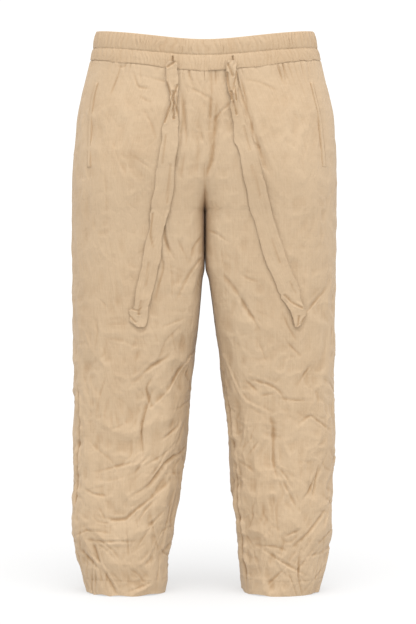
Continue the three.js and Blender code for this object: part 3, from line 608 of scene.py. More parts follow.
class Leg:
    """One leg with its half of the seat, as rings stacked by level."""

    LEG_LEVELS = 180               # rows of the table of angles below the crotch
    RISE_LEVELS = 90               # and above it
    JUST_ABOVE = 0.0002
    CROWDING = 13                  # what the power of the columns' crowding adds to one
    CROWDED_DEPTH = 0.17           # how far below the crotch the columns are crowded

    def __init__(self, name: str) -> None:
        """Reads the leg's columns from the tables.

        Args:
            name: right or left.
        """
        self.name = name
        self.sign = 1.0 if name == "left" else -1.0
        levels = SECTIONS[:, 0]

        def section(column: str) -> Column:
            """A column of the sections' table."""
            return Column(levels, SECTIONS[:, SECTION_COLUMNS.index(column)])

        turn_levels = mm([row[0] for row in SEAM_TURNS])

        def turn(column: str) -> Column:
            """A column of the seam turns' table, in radians."""
            place = SEAM_TURN_COLUMNS.index(column)
            return Column(turn_levels, np.radians([row[place] for row in SEAM_TURNS]))

        self.outer = section(f"{name}Outer")
        self.inner = section(f"{name}Inner")
        self.front = section("front")
        self.back = section("back")
        round_levels = mm([row[0] for row in INNER_ROUNDNESS])
        self.inner_power = {
            column: Column(round_levels, [row[place] for row in INNER_ROUNDNESS])
            for place, column in enumerate(INNER_ROUNDNESS_COLUMNS) if place
        }
        self.side_turn = turn(f"{name}Side")
        self.inseam_turn = turn(f"{name}Inseam")
        self.split = self._split()
        self.levels = np.concatenate([
            np.linspace(HEM_LEVEL, self.split, self.LEG_LEVELS),
            np.linspace(self.split + self.JUST_ABOVE, BAND_FOOT, self.RISE_LEVELS),
        ])
        self.spread = {face: self._spread(face) for face in Face}

    def ring(self, level: Array) -> Ring:
        """The ring at a level.

        Args:
            level: heights.

        Returns:
            The ring.
        """
        outer = self.outer.at(level)
        inner = self.inner.at(level)
        return Ring((outer + inner) / 2, (outer - inner) / 2, self.front.at(level),
                    self.back.at(level), self.inner_power["front"].at(level),
                    self.inner_power["back"].at(level))

    def point(self, level: Array, theta: Array) -> tuple[Array, Array]:
        """The point at a level and angle, and the level way out of the cloth there.

        Args:
            level: heights.
            theta: angles, 0 outermost, positive to the front.

        Returns:
            Points and unit ways out, each with a last axis of 3.
        """
        level, theta = np.broadcast_arrays(level, theta)
        ring = self.ring(level)
        radius = ring.radius(theta)
        across = radius * np.cos(theta)
        along = radius * np.sin(theta)
        depth, power = ring.quarter(theta)
        slope = power - 1
        out_x = self.sign * np.sign(across) * np.abs(across / ring.half) ** slope / ring.half
        out_y = -np.sign(along) * np.abs(along / depth) ** slope / depth
        length = np.hypot(out_x, out_y)
        out = np.stack([out_x / length, out_y / length, np.zeros_like(length)], axis=-1)
        return np.stack([self.sign * (ring.centre + across), -along, level], axis=-1), out

    def centre_cut(self, level: Array, face: Face) -> Array:
        """The angle where the ring meets the centre seam, by halving; far off if it doesn't.

        Args:
            level: heights.
            face: front or back.

        Returns:
            The angles, all positive.
        """
        ring = self.ring(level)
        near = np.full(np.shape(level), 0.4 * math.pi)
        far = np.full(np.shape(level), math.pi)
        for _ in range(HALVINGS):
            middle = (near + far) / 2
            reach = ring.centre + ring.radius(middle * face.value) * np.cos(middle)
            inside = reach > 0
            near = np.where(inside, middle, near)
            far = np.where(inside, far, middle)
        return np.where(ring.centre >= ring.half, np.inf, near)

    def limits(self, level: Array, face: Face) -> tuple[Array, Array]:
        """Where a panel starts, at the side seam, and ends, at the inseam or centre seam.

        Args:
            level: heights.
            face: front or back.

        Returns:
            The first and last angle.
        """
        side = self.side_turn.at(level)
        inseam = math.pi - face.value * self.inseam_turn.at(level)
        return side, face.value * np.minimum(inseam, self.centre_cut(level, face))

    def _split(self) -> float:
        """The level where the leg's ring just clears the centre seam, by halving."""
        low, high = CROTCH_RANGE
        for _ in range(HALVINGS):
            middle = (low + high) / 2
            low, high = (middle, high) if self.inner.at(middle) > 0 else (low, middle)
        return low

    def _spread(self, face: Face, shares: int = 96, samples: int = 120) -> tuple[Array, Array]:
        """A table of the angle's share of its range, by level and by share along the cloth."""
        start, end = self.limits(self.levels, face)
        steps = np.linspace(0, 1, samples)
        theta = start[:, None] + (end - start)[:, None] * steps
        at, _ = self.point(self.levels[:, None], theta)
        lengths = np.cumsum(np.linalg.norm(np.diff(at, axis=1), axis=-1), axis=1)
        lengths = np.concatenate([np.zeros((len(self.levels), 1)), lengths], axis=1)
        total = lengths[:, -1]
        wanted = np.linspace(0, 1, shares)
        table = np.stack([np.interp(wanted, row / row[-1], steps) for row in lengths])
        return table, total

    def angle(self, level: Array, face: Face, share: Array) -> Array:
        """The angle at a share of the way round a panel, measured along the cloth.

        Args:
            level: heights.
            face: front or back.
            share: 0 at the side seam to 1 at the inseam or centre seam.

        Returns:
            The angles.
        """
        table, _ = self.spread[face]
        rows, columns = table.shape
        row = np.interp(level, self.levels, np.arange(rows))
        column = np.clip(share, 0, 1) * (columns - 1)
        r = np.clip(row.astype(int), 0, rows - 2)
        c = np.clip(column.astype(int), 0, columns - 2)
        a, b = row - r, column - c
        spread = ((table[r, c] * (1 - b) + table[r, c + 1] * b) * (1 - a)
                  + (table[r + 1, c] * (1 - b) + table[r + 1, c + 1] * b) * a)
        start, end = self.limits(level, face)
        return start + (end - start) * spread

    def along(self, level: Array, face: Face, column: Array) -> Array:
        """The share along the cloth of each column of a panel's grid.

        Above the crotch they are the same. Just below it the panel is longer by the
        crotch's underside, which the last columns take up, by a high power of the
        column; lower down the power falls to one, so that the columns are even again.

        Args:
            level: heights.
            face: front or back.
            column: 0 at the side seam to 1 at the inseam or centre seam.

        Returns:
            Shares from 0 to 1.
        """
        _, total = self.spread[face]
        below = int(np.searchsorted(self.levels, self.split))
        above = int(np.searchsorted(self.levels, self.split + 10 * self.JUST_ABOVE))
        extra = 1 - total[above] / total[below]
        power = 1 + self.CROWDING * smoothstep(level - self.split, -self.CROWDED_DEPTH, 0.0)
        crowded = column * (1 - extra) + extra * column ** power
        return np.where(level > self.split, column, crowded)

    def front_point(self, x: Array, level: Array) -> tuple[Array, Array]:
        """The point on the front at a distance from the centre line, by halving the angle.

        Args:
            x: how far across, either sign.
            level: heights.

        Returns:
            Points and ways out.
        """
        level = np.asarray(level, dtype=float)
        outermost = np.zeros(np.shape(level))
        innermost = self.limits(level, Face.FRONT)[1]
        ring = self.ring(level)
        for _ in range(HALVINGS):
            middle = (outermost + innermost) / 2
            reach = ring.centre + ring.radius(middle) * np.cos(middle)
            beyond = reach > np.abs(x)
            outermost = np.where(beyond, middle, outermost)
            innermost = np.where(beyond, innermost, middle)
        return self.point(level, innermost)


# ---------- crinkles and creases

class Lattice:
    """Smooth noise from -1 to 1: random numbers on a cubic lattice, blended between."""

    SIDE = 32

    def __init__(self, seed: int) -> None:
        """Draws the lattice's numbers.

        Args:
            seed: the generator's seed.
        """
        self.values = np.random.default_rng(seed).uniform(-1, 1, (self.SIDE,) * 3)

    def at(self, points: Array) -> Array:
        """The noise: each cell's eight corners, weighted by a fifth-power step.

        Args:
            points: places in lattice cells, with a last axis of 3.

        Returns:
            The noise there.
        """
        low = np.floor(points).astype(int)
        t = points - low
        t = t * t * t * (t * (t * 6 - 15) + 10)
        total = np.zeros(points.shape[:-1])
        for corner in range(8):
            step = np.array([corner & 1, corner >> 1 & 1, corner >> 2 & 1])
            weight = np.prod(np.where(step, t, 1 - t), axis=-1)
            cell = (low + step) % self.SIDE
            total += weight * self.values[cell[..., 0], cell[..., 1], cell[..., 2]]
        return total

    def read(self, *places: Any) -> Array:
        """The noise at three coordinates, each a number or an array."""
        return self.at(np.stack(np.broadcast_arrays(*places), axis=-1))


def bell(off: Array, width: float) -> Array:
    """Falls from 1 on a line to 0 beside it: e to minus the square of off over width."""
    return np.exp(-(off / width) ** 2)


def off_route(x: Array, level: Array, route: Array) -> tuple[Array, Array]:
    """How far places on the front lie from each run of a line.

    Args:
        x: how far across.
        level: heights.
        route: rows that start with x and level.

    Returns:
        The distances and the shares along, each with a first axis of one row a run.
    """
    distances, shares = [], []
    for start, end in zip(route[:-1, :2], route[1:, :2]):
        run = end - start
        t = np.clip(((x - start[0]) * run[0] + (level - start[1]) * run[1]) / (run @ run), 0, 1)
        distances.append(np.hypot(x - start[0] - t * run[0], level - start[1] - t * run[1]))
        shares.append(t)
    return np.array(distances), np.array(shares)


def lengths_along(path: Array) -> Array:
    """How far along a line each of its points lies.

    Args:
        path: the points, one a row.

    Returns:
        The lengths, from 0.
    """
    return np.append(0.0, np.cumsum(np.linalg.norm(np.diff(path, axis=0), axis=1)))


def smooth_route(points: Array, tail: float, steps: int) -> Array:
    """A smooth line through points, run on past both ends.

    Args:
        points: rows of numbers.
        tail: how far to run on, as a share of the first and last runs' length.
        steps: how many points to give.

    Returns:
        The points of the smooth line.
    """
    first = points[0] + (points[0] - points[1]) * tail
    last = points[-1] + (points[-1] - points[-2]) * tail
    rows = np.vstack([first, points, last])
    at = lengths_along(rows)
    wanted = np.linspace(0, at[-1], steps)
    return np.stack([Column(at, rows[:, k]).at(wanted) for k in range(rows.shape[1])], axis=1)


@dataclass
class Crease:
    """A soft trough along points of the cloth, or a ridge where depth is below nothing."""

    points: Array
    depth: float
    width: float
    lean: float = 0.0
    REACH = 8.0                    # widths past which the crease is nothing
    BULGE = 0.40
    BULGE_PLACE = 1.9              # widths from the crease's line
    BULGE_WIDTH = 0.8
    DELL = 0.40                    # a wide soft dip that the crease lies in
    DELL_WIDTH = 4.2

    def height(self, at: Array, out: Array) -> tuple[Array, Array]:
        """The crease's height: a fall by distance, with a low bulge on either side.

        The fall is depth times e to minus the distance over the half-width, to the
        power 1.1; the two flanks' half-widths differ by the lean. Towards both ends the
        whole fades by a sine and widens.

        Args:
            at: points of the cloth, N by 3.
            out: the ways out there, N by 3.

        Returns:
            The indices of the points near the crease, and their heights.
        """
        reach = abs(self.width) * self.REACH
        low = self.points.min(axis=0) - reach
        high = self.points.max(axis=0) + reach
        near = np.flatnonzero(np.all((at > low) & (at < high), axis=1))
        if not len(near):
            return near, np.zeros(0)
        here, way = at[near], out[near]
        best = np.full(len(near), FAR)
        side = np.zeros(len(near))
        along = np.zeros(len(near))
        runs = np.diff(self.points, axis=0)
        lengths = np.linalg.norm(runs, axis=1)
        travelled = np.concatenate([[0], np.cumsum(lengths)]) / lengths.sum()
        for i, run in enumerate(runs):
            offset = here - self.points[i]
            t = np.clip(offset @ run / lengths[i] ** 2, 0, 1)
            gap = offset - t[:, None] * run
            distance = np.linalg.norm(gap, axis=1)
            nearer = distance < best
            best = np.where(nearer, distance, best)
            turned = np.einsum("ij,ij->i", gap, np.cross(run, way))
            side = np.where(nearer, np.sign(turned), side)
            place = travelled[i] + t * lengths[i] / lengths.sum()
            along = np.where(nearer, place, along)
        fade = np.sin(np.pi * np.clip(along, 0, 1)) ** 0.8
        width = self.width * (1 + self.lean * side) * (1.5 - 0.5 * fade)
        x = best / width
        bulge = self.BULGE * bell(x - self.BULGE_PLACE, self.BULGE_WIDTH)
        fall = bulge - np.exp(-x ** 1.1)
        dell = -self.DELL * bell(x, self.DELL_WIDTH)
        return near, self.depth * fade * (fall + dell)


class Relief:
    """Everything that lifts a leg's cloth off its smooth rings."""

    STRENGTH = 0.74                # of the tables' depths
    NARROWING = 0.50               # of the tables' half-widths, seen from the front
    ROUND_STRENGTH = 0.85          # of that strength, on the hidden sides
    ROUND_NARROWING = 0.75
    FRONT_LINE = -0.06             # the highest level of a front crease
    MIDDLE_RADIUS = 0.09           # makes lengths of turns
    SMALL_CREASES = 430
    SMALL_TOP = -0.12              # the highest level of a small crease's head
    SMALL_RANGE = 0.83             # how far below that the lowest may be
    LOW_LEG = (0.40, 0.66)         # below the waist, where the small creases grow
    SMALL_STEP = (0.008, 0.019)
    SMALL_DEPTH = (0.4, 1.2)       # in millimetres, as the next
    SMALL_WIDTH = (1.6, 3.4)
    BEND = 0.012                   # how far slow noise pushes the facets about
    WIDE_FACETS = (26, 26, 17)     # lattice cells to a metre
    FINE_FACETS = (62, 62, 40)
    WIDE_HEIGHT = 0.0011           # on the seat, and as much again low on the leg
    FINE_HEIGHT = 0.0005
    FACETS_START = (0.09, 0.16)    # below the waist
    FACETS_GROW = (0.36, 0.68)
    UNEVEN = 34                    # lattice cells to a metre of the creases' unevenness

    def __init__(self, leg: Leg) -> None:
        """Places the leg's creases from the tables, and small ones by a seed.

        Args:
            leg: the leg.
        """
        self.leg = leg
        self.noise = [Lattice(seed) for seed in (11, 12, 13, 14)]
        self.shared = list(self._front(("both",)))
        self.own = [*self._front((leg.name,)), *self._round(), *self._small()]

    def _front(self, names: Sequence[str]) -> Iterable[Crease]:
        """The creases that are seen from the front, of the rows with these leg names."""
        rng = np.random.default_rng(5)
        for leg, depth, width, points in FRONT_CREASES:
            lean = rng.uniform(-0.55, 0.55)
            if leg in names:
                route = smooth_route(mm(points), 0.7 if len(points) == 2 else 0.9, 9)
                route[:, 1] = np.clip(route[:, 1], HEM_LEVEL, self.FRONT_LINE)
                at, _ = self.leg.front_point(route[:, 0], route[:, 1])
                at[:, 0] = route[:, 0]
                yield Crease(at, self.STRENGTH * depth / 1000, self.NARROWING * width / 1000, lean)

    def _round(self) -> Iterable[Crease]:
        """The creases of the back, the sides and the inner leg."""
        rng = np.random.default_rng(6)
        for leg, depth, width, points in ROUND_CREASES:
            lean = rng.uniform(-0.35, 0.35)
            if leg == self.leg.name:
                turns = np.radians([point[0] for point in points])
                levels = mm([point[1] for point in points])
                route = smooth_route(np.stack([turns * self.MIDDLE_RADIUS, levels], axis=1), 0.8, 11)
                at, _ = self.leg.point(np.maximum(route[:, 1], HEM_LEVEL),
                                       route[:, 0] / self.MIDDLE_RADIUS)
                strength = self.ROUND_STRENGTH * self.STRENGTH
                yield Crease(at, strength * depth / 1000, self.ROUND_NARROWING * width / 1000, lean)

    def _small(self) -> Iterable[Crease]:
        """Small creases all round, more and deeper down the leg, wandering as they run."""
        rng = np.random.default_rng(21 if self.leg.name == "right" else 22)
        for _ in range(self.SMALL_CREASES):
            level = self.SMALL_TOP - self.SMALL_RANGE * rng.uniform() ** 0.75
            theta = rng.uniform(-math.pi, math.pi)
            low = float(smoothstep(np.array(-level), *self.LOW_LEG))
            front = math.sin(theta) > 0.35
            steep = rng.uniform(50, 130) if rng.uniform() > 0.35 + 0.5 * low else rng.uniform(0, 180)
            heading = math.radians(steep)
            step = rng.uniform(*self.SMALL_STEP) * (0.8 + 0.5 * low)
            depth = rng.uniform(*self.SMALL_DEPTH) * (0.5 + 0.8 * low) * (0.6 if front else 0.75)
            depth *= 1 if rng.uniform() > 0.35 else -0.8
            width = rng.uniform(*self.SMALL_WIDTH)
            lean = rng.uniform(-0.5, 0.5)
            levels, angles = [level], [theta]
            for _ in range(rng.integers(3, 6)):
                heading += rng.normal(0, 0.35)
                levels.append(levels[-1] - step * math.sin(heading))
                angles.append(angles[-1] + step * math.cos(heading) / self.MIDDLE_RADIUS)
            if min(levels) < HEM_LEVEL or max(levels) > -0.1:
                continue
            at, _ = self.leg.point(np.array(levels), np.array(angles))
            if np.all(self.leg.sign * at[:, 0] > 0.004):
                yield Crease(at, depth / 1000, width / 1000, lean)

    def height(self, at: Array, out: Array) -> Array:
        """How far the cloth stands off the smooth ring.

        Creases are added up, each made uneven by slow noise. Facets are one less the
        size of a noise, which gives ridges where it crosses nothing.

        Args:
            at: points, rows by columns by 3.
            out: the ways out there.

        Returns:
            Heights, rows by columns.
        """
        flat, way = at.reshape(-1, 3), out.reshape(-1, 3)
        uneven = 0.85 + 0.45 * self.noise[0].at(flat * self.UNEVEN)
        total = np.zeros(len(flat))
        for crease in self.own:
            near, height = crease.height(flat, way)
            total[near] += height * uneven[near]
        total *= smoothstep(np.abs(flat[:, 0]), 0.0, NEAR_CENTRE / 2)
        for crease in self.shared:
            near, height = crease.height(flat, way)
            total[near] += height * uneven[near]
        level = flat[:, 2]
        low = smoothstep(-level, *self.FACETS_GROW)
        waist = smoothstep(-level, *self.FACETS_START)
        bend = np.stack([self.noise[1].at(flat * 22 + shift) for shift in (0, 7.3, 15.1)], axis=-1)
        warped = flat + bend * self.BEND
        wide = 1 - 2 * np.abs(self.noise[2].at(warped * self.WIDE_FACETS))
        fine = 1 - 2 * np.abs(self.noise[3].at(warped * self.FINE_FACETS))
        total += waist * (1 + low) * (self.WIDE_HEIGHT * wide + self.FINE_HEIGHT * fine)
        return total.reshape(at.shape[:-1])


# ---------- meshes

def grid_quads(rows: int, columns: int, first: int = 0) -> Array:
    """The quads of a grid of vertices, row by row.

    Args:
        rows: rows of vertices.
        columns: columns of vertices.
        first: the grid's first vertex.

    Returns:
        Vertex numbers, N by 4.
    """
    index = first + np.arange(rows * columns).reshape(rows, columns)
    return np.stack([index[:-1, :-1], index[:-1, 1:], index[1:, 1:], index[1:, :-1]],
                    axis=-1).reshape(-1, 4)


def rim_loop(rows: Array, columns: Array) -> tuple[Array, Array]:
    """The closed loop round a grid's edge.

    Args:
        rows: the row numbers used.
        columns: the column numbers used.

    Returns:
        The row and the column of each vertex in turn.
    """
    down, across = rows[1:-1], columns
    row = np.concatenate([np.full(len(across), rows[0]), down,
                          np.full(len(across), rows[-1]), down[::-1]])
    column = np.concatenate([across, np.full(len(down), columns[-1]),
                             across[::-1], np.full(len(down), columns[0])])
    return row, column


def make_object(name: str, points: Array, faces: Sequence[Array], uv: Array,
                marks: dict[str, Array]) -> bpy.types.Object:
    """A mesh object at the origin, smooth, with a UV map in metres.

    Args:
        name: the object's name.
        points: N by 3.
        faces: arrays of triangles or quads.
        uv: N by 2, each vertex's place on the cloth.
        marks: a number for each vertex, by attribute name.

    Returns:
        The object, linked to the scene.
    """
    mesh = bpy.data.meshes.new(name)
    counts = np.concatenate([np.full(len(group), group.shape[1]) for group in faces])
    loops = np.concatenate([group.ravel() for group in faces])
    mesh.vertices.add(len(points))
    mesh.vertices.foreach_set("co", points.ravel())
    mesh.loops.add(len(loops))
    mesh.loops.foreach_set("vertex_index", loops)
    mesh.polygons.add(len(counts))
    starts = np.concatenate([[0], np.cumsum(counts)[:-1]])
    mesh.polygons.foreach_set("loop_start", starts)
    layer = mesh.uv_layers.new(name="cloth")
    layer.data.foreach_set("uv", uv[loops].ravel())
    for mark, values in marks.items():
        attribute = mesh.attributes.new(mark, "FLOAT", "POINT")
        attribute.data.foreach_set("value", values.astype(np.float32))
    mesh.update(calc_edges=True)
    mesh.validate()
    mesh.shade_smooth()
    mesh.set_sharp_from_angle(angle=math.radians(65))
    made = bpy.data.objects.new(name, mesh)
    bpy.context.scene.collection.objects.link(made)
    return made


def set_ride(made: bpy.types.Object, node: str) -> bpy.types.Object:
    """Puts a piece in its solid's place on the one body, and hides the solid."""
    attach(made, "root")
    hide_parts(node)
    return made


def outward(points: Array, faces: Sequence[Array]) -> list[Array]:
    """The faces turned to point out of a closed mesh, by the sign of its volume.

    Args:
        points: N by 3.
        faces: arrays of triangles or quads.

    Returns:
        The same faces, all reversed if they pointed in.
    """
    volume = 0.0
    for group in faces:
        for k in range(1, group.shape[1] - 1):
            a, b, c = points[group[:, 0]], points[group[:, k]], points[group[:, k + 1]]
            volume += float(np.einsum("ij,ij->", a, np.cross(b, c)))
    return [group if volume > 0 else group[:, ::-1] for group in faces]


def hollows(height: Array, passes: int) -> Array:
    """How far a height lies below its smoothed neighbourhood.

    Args:
        height: rows by columns.
        passes: how often it is smoothed by quarter, half, quarter.

    Returns:
        Positive in troughs, negative on ridges.
    """
    smooth = height
    for _ in range(passes):
        padded = np.pad(smooth, 1, mode="edge")
        smooth = (padded[:-2, 1:-1] + padded[2:, 1:-1] + 2 * padded[1:-1, 1:-1]) / 4
        padded = np.pad(smooth, 1, mode="edge")
        smooth = (padded[1:-1, :-2] + padded[1:-1, 2:] + 2 * padded[1:-1, 1:-1]) / 4
    return smooth - height


# ---------- stitches

@dataclass
class Stitching:
    """Rows of short thread stitches on the finished surfaces, gathered into one piece."""

    name: str
    length: float = 0.0024
    pitch: float = 0.0034
    thickness: float = 0.00042
    bow: float = 0.00035           # how far the middle stands out of the cloth
    sunk: float = 0.00005          # how far the ends lie in it
    blunt: float = 0.12            # the share of the sine left off at either end
    rings: int = 5
    sides: int = 6
    rows: list[tuple[Array, Array]] = field(default_factory=list)

    def add(self, path: Array, out: Array) -> None:
        """Adds a row of stitches.

        Args:
            path: points on the surface, N by 3.
            out: the ways out there, N by 3.
        """
        at = lengths_along(path)
        middles = np.arange(self.pitch, at[-1] - self.pitch, self.pitch)
        places = np.stack([middles - self.length / 2, middles, middles + self.length / 2])
        points = np.stack([np.interp(places, at, path[:, k]) for k in range(3)], axis=-1)
        ways = np.stack([np.interp(middles, at, out[:, k]) for k in range(3)], axis=-1)
        self.rows.append((points, ways / np.linalg.norm(ways, axis=1)[:, None]))

    def build(self) -> bpy.types.Object:
        """The stitches as small spindles bowed out of the cloth.

        Along each, the middle line is a curve of degree two through its three points;
        the thickness and the height go by a sine.

        Returns:
            The object.
        """
        points = np.concatenate([row[0] for row in self.rows], axis=1)
        ways = np.concatenate([row[1] for row in self.rows], axis=0)
        t = np.linspace(0, 1, self.rings)[:, None, None]
        middle = (points[0] * (1 - t) * (1 - 2 * t) + points[1] * 4 * t * (1 - t)
                  + points[2] * t * (2 * t - 1))
        run = points[2] - points[0]
        run /= np.linalg.norm(run, axis=1)[:, None]
        aside = np.cross(run, ways)
        swell = np.sin(np.pi * (self.blunt + (1 - 2 * self.blunt) * t)) * self.thickness / 2
        middle = middle + ways * (np.sin(np.pi * t) * self.bow - self.sunk)
        turn = np.linspace(0, 2 * np.pi, self.sides, endpoint=False)
        loop = (aside[None, :, None] * np.cos(turn)[:, None]
                + ways[None, :, None] * np.sin(turn)[:, None])
        at = middle[:, :, None] + loop * swell[..., None]
        count = at.shape[1]
        index = np.arange(at.size // 3).reshape(self.rings, count, self.sides)
        around = np.roll(index, -1, axis=2)
        quads = np.stack([index[:-1], around[:-1], around[1:], index[1:]], axis=-1).reshape(-1, 4)
        ends = [index[0][:, ::-1], index[-1]]
        vertices = at.reshape(-1, 3)
        faces = outward(vertices, [quads, *ends])
        made = make_object(self.name, vertices, faces, vertices[:, [0, 2]],
                           {"trough": np.zeros(len(vertices))})
        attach(made, "root")
        LOG.info("%s: %d stitches", self.name, count)
        return made


# ---------- ties

@dataclass
class Tie:
    """One free end of the flat drawstring tie, hanging over the front."""

    leg: Leg
    thickness: float = 0.0018
    full_width: float = 0.026      # under this it is pinched
    pinch_swell: float = 1.1       # how much thicker a pinch is
    raggedness: float = 0.11       # share of the width
    lean_out: float = 0.0007       # how far it hangs off its line, and how unevenly
    lean_uneven: float = 0.0010
    curl: float = 0.0009           # of one edge
    crinkle: float = 0.0004
    pleat: float = 0.0010
    fold_full: float = 0.0012      # a fold this deep shows its full painted shade
    tip_levels: tuple[float, float] = (0.440, 0.457)    # below the waist
    cover_fade: tuple[float, float] = (0.001, 0.007)
    across_power: float = 0.8
    thick_power: float = 0.35      # the lower, the flatter the tie
    stations: int = 300
    around: int = 36

    def columns(self) -> dict[str, Column]:
        """Smooth curves through the route's columns, by row number."""
        rows = TIE_ROUTES[self.leg.name]
        return {name: Column(range(len(rows)), [row[i] for row in rows])
                for i, name in enumerate(TIE_COLUMNS)}

    def cover(self, x: Array, level: Array) -> Array:
        """How far a place on the front lies under the tie: 1 under it, fading to 0 beside.

        Args:
            x: how far across.
            level: heights.

        Returns:
            Shares from 0 to 1.
        """
        rows = np.array(TIE_ROUTES[self.leg.name])
        away, t = off_route(x, level, rows)
        width = rows[:, 2].reshape((-1,) + (1,) * np.ndim(x))
        half = (width[:-1] + np.diff(width, axis=0) * t) / 2
        return np.max(1 - smoothstep(away - half, *self.cover_fade), axis=0)

    def _edges(self, index: Array, x: Array, level: Array, width: Array, across: Array,
               noise: Lattice) -> tuple[Array, Array]:
        """Where each point of the flat loops lies on the front: its x and its level."""
        run = np.stack([np.gradient(x), np.gradient(level)], axis=1)
        run /= np.linalg.norm(run, axis=1)[:, None]
        ragged = noise.read(index[:, None] * 1.9, np.sign(across) * 3, 0.0)
        half = width[:, None] / 2 * (1 + self.raggedness * ragged)
        tip = TIE_TIPS[self.leg.name][::-1]
        low, high = (np.interp(level, tip[:, 0], tip[:, k])[:, None] for k in (1, 2))
        at_tip = smoothstep(-level, *self.tip_levels)[:, None]
        middle_x = x[:, None] * (1 - at_tip) + (low + high) / 2 * at_tip
        half_x = -run[:, 1:] * half * (1 - at_tip) + (high - low) / 2 * at_tip
        half_level = run[:, :1] * half * (1 - at_tip)
        return middle_x + half_x * across, level[:, None] + half_level * across

    @staticmethod
    def _fold(x: Array, level: Array, route: Array, width: float) -> Array:
        """A narrow trough of depth 1 along a line, with a low ridge on either side."""
        away = off_route(x, level, route)[0].min(axis=0) / width
        ridge = Crease.BULGE * bell(away - Crease.BULGE_PLACE, Crease.BULGE_WIDTH)
        return ridge - np.exp(-away ** 1.4)

    def build(self) -> tuple[bpy.types.Object, Array]:
        """The tie as a flat tube round its route.

        Each station is a rounded flat loop: across by a power of the cosine, thick by a
        power of the sine. Where the tie is pinched it is thicker, with lengthwise pleats.

        Returns:
            The object and the points of its middle line.
        """
        curves = self.columns()
        last = len(TIE_ROUTES[self.leg.name]) - 1
        index = np.linspace(0, last, self.stations)
        x, level, width, lift = (curves[name].at(index) for name in TIE_COLUMNS)
        turn = np.linspace(0, 2 * math.pi, self.around, endpoint=False)
        across = np.sign(np.cos(turn)) * np.abs(np.cos(turn)) ** self.across_power
        thick = np.sign(np.sin(turn)) * np.abs(np.sin(turn)) ** self.thick_power
        pinch = np.clip(1 - width / self.full_width, 0, 1)[:, None]
        noise = Lattice(31 if self.leg.name == "right" else 32)
        edge_x, edge_level = self._edges(index, x, level, width, across, noise)
        at, out = self.leg.front_point(edge_x, edge_level)
        wander = noise.read(index * 0.9, 0.0, 0.0)[:, None]
        pleat = np.cos(across * 6 + wander * 3 + index[:, None] * 1.3)
        folds = np.zeros(edge_x.shape)
        for depth, narrow, route in TIE_FOLDS[self.leg.name]:
            folds += depth / 1000 * self._fold(edge_x, edge_level, mm(route), narrow / 1000)
        places = np.stack([across * width[:, None] * 60 + 3, edge_level * 45, edge_x * 0], axis=-1)
        crinkle = 1 - 2 * np.abs(noise.at(places))
        slow = noise.read(index * 0.8, 4.0, 0.0)[:, None]
        off_line = np.clip(self.lean_out + self.lean_uneven * slow, 0, 1)
        swell = self.thickness * (1 + self.pinch_swell * pinch) / 2
        curl = self.curl * np.clip(across * np.sign(wander), 0, 1) ** 3
        relief = self.crinkle * crinkle * (1 - pinch) + self.pleat * pleat * pinch + folds
        height = (lift[:, None] + off_line + swell * (1 + thick)
                  + (curl + self.crinkle * noise.at(places * 0.4)) * (1 - pinch)
                  + np.clip(thick, 0, 1) * relief)
        points = at + out * height[..., None]
        points[..., 0] = edge_x + out[..., 0] * height
        middle, way = self.leg.front_point(x, level)
        path = middle + way * (lift + self.thickness / 2)[:, None]
        path[:, 0] = x + way[:, 0] * (lift + self.thickness / 2)
        hubs = np.stack([points[0].mean(axis=0), points[-1].mean(axis=0)])
        vertices = np.concatenate([points.reshape(-1, 3), hubs])
        u = across * width[:, None] / 2
        v = np.broadcast_to(lengths_along(path)[:, None], u.shape)
        uv = np.concatenate([np.stack([u, v], axis=-1).reshape(-1, 2), np.zeros((2, 2))])
        # painted shade in the tie's folds and in the pleats' grooves, as the trough mark
        trough = np.clip(-folds / self.fold_full, 0, 1) - pleat * pinch * 0.7
        trough = np.concatenate([trough.ravel(), [0, 0]])
        faces = outward(vertices, self._tube_faces())
        made = make_object(f"tie_{self.leg.name}_cloth", vertices, faces, uv,
                           {"trough": np.clip(trough, 0, 1)})
        return made, path

    def _tube_faces(self) -> list[Array]:
        """The quads round the tube, and the triangles between each end and its hub."""
        quads = grid_quads(self.stations, self.around + 1)
        station, column = np.divmod(quads, self.around + 1)
        ends = []
        for row in (0, self.stations - 1):
            loop = row * self.around + np.arange(self.around)
            hub = np.full(self.around, self.stations * self.around + len(ends))
            ends.append(np.stack([loop, np.roll(loop, -1), hub], axis=1))
        return [station * self.around + column % self.around, ends[0], ends[1][:, ::-1]]


# ---------- leg panels

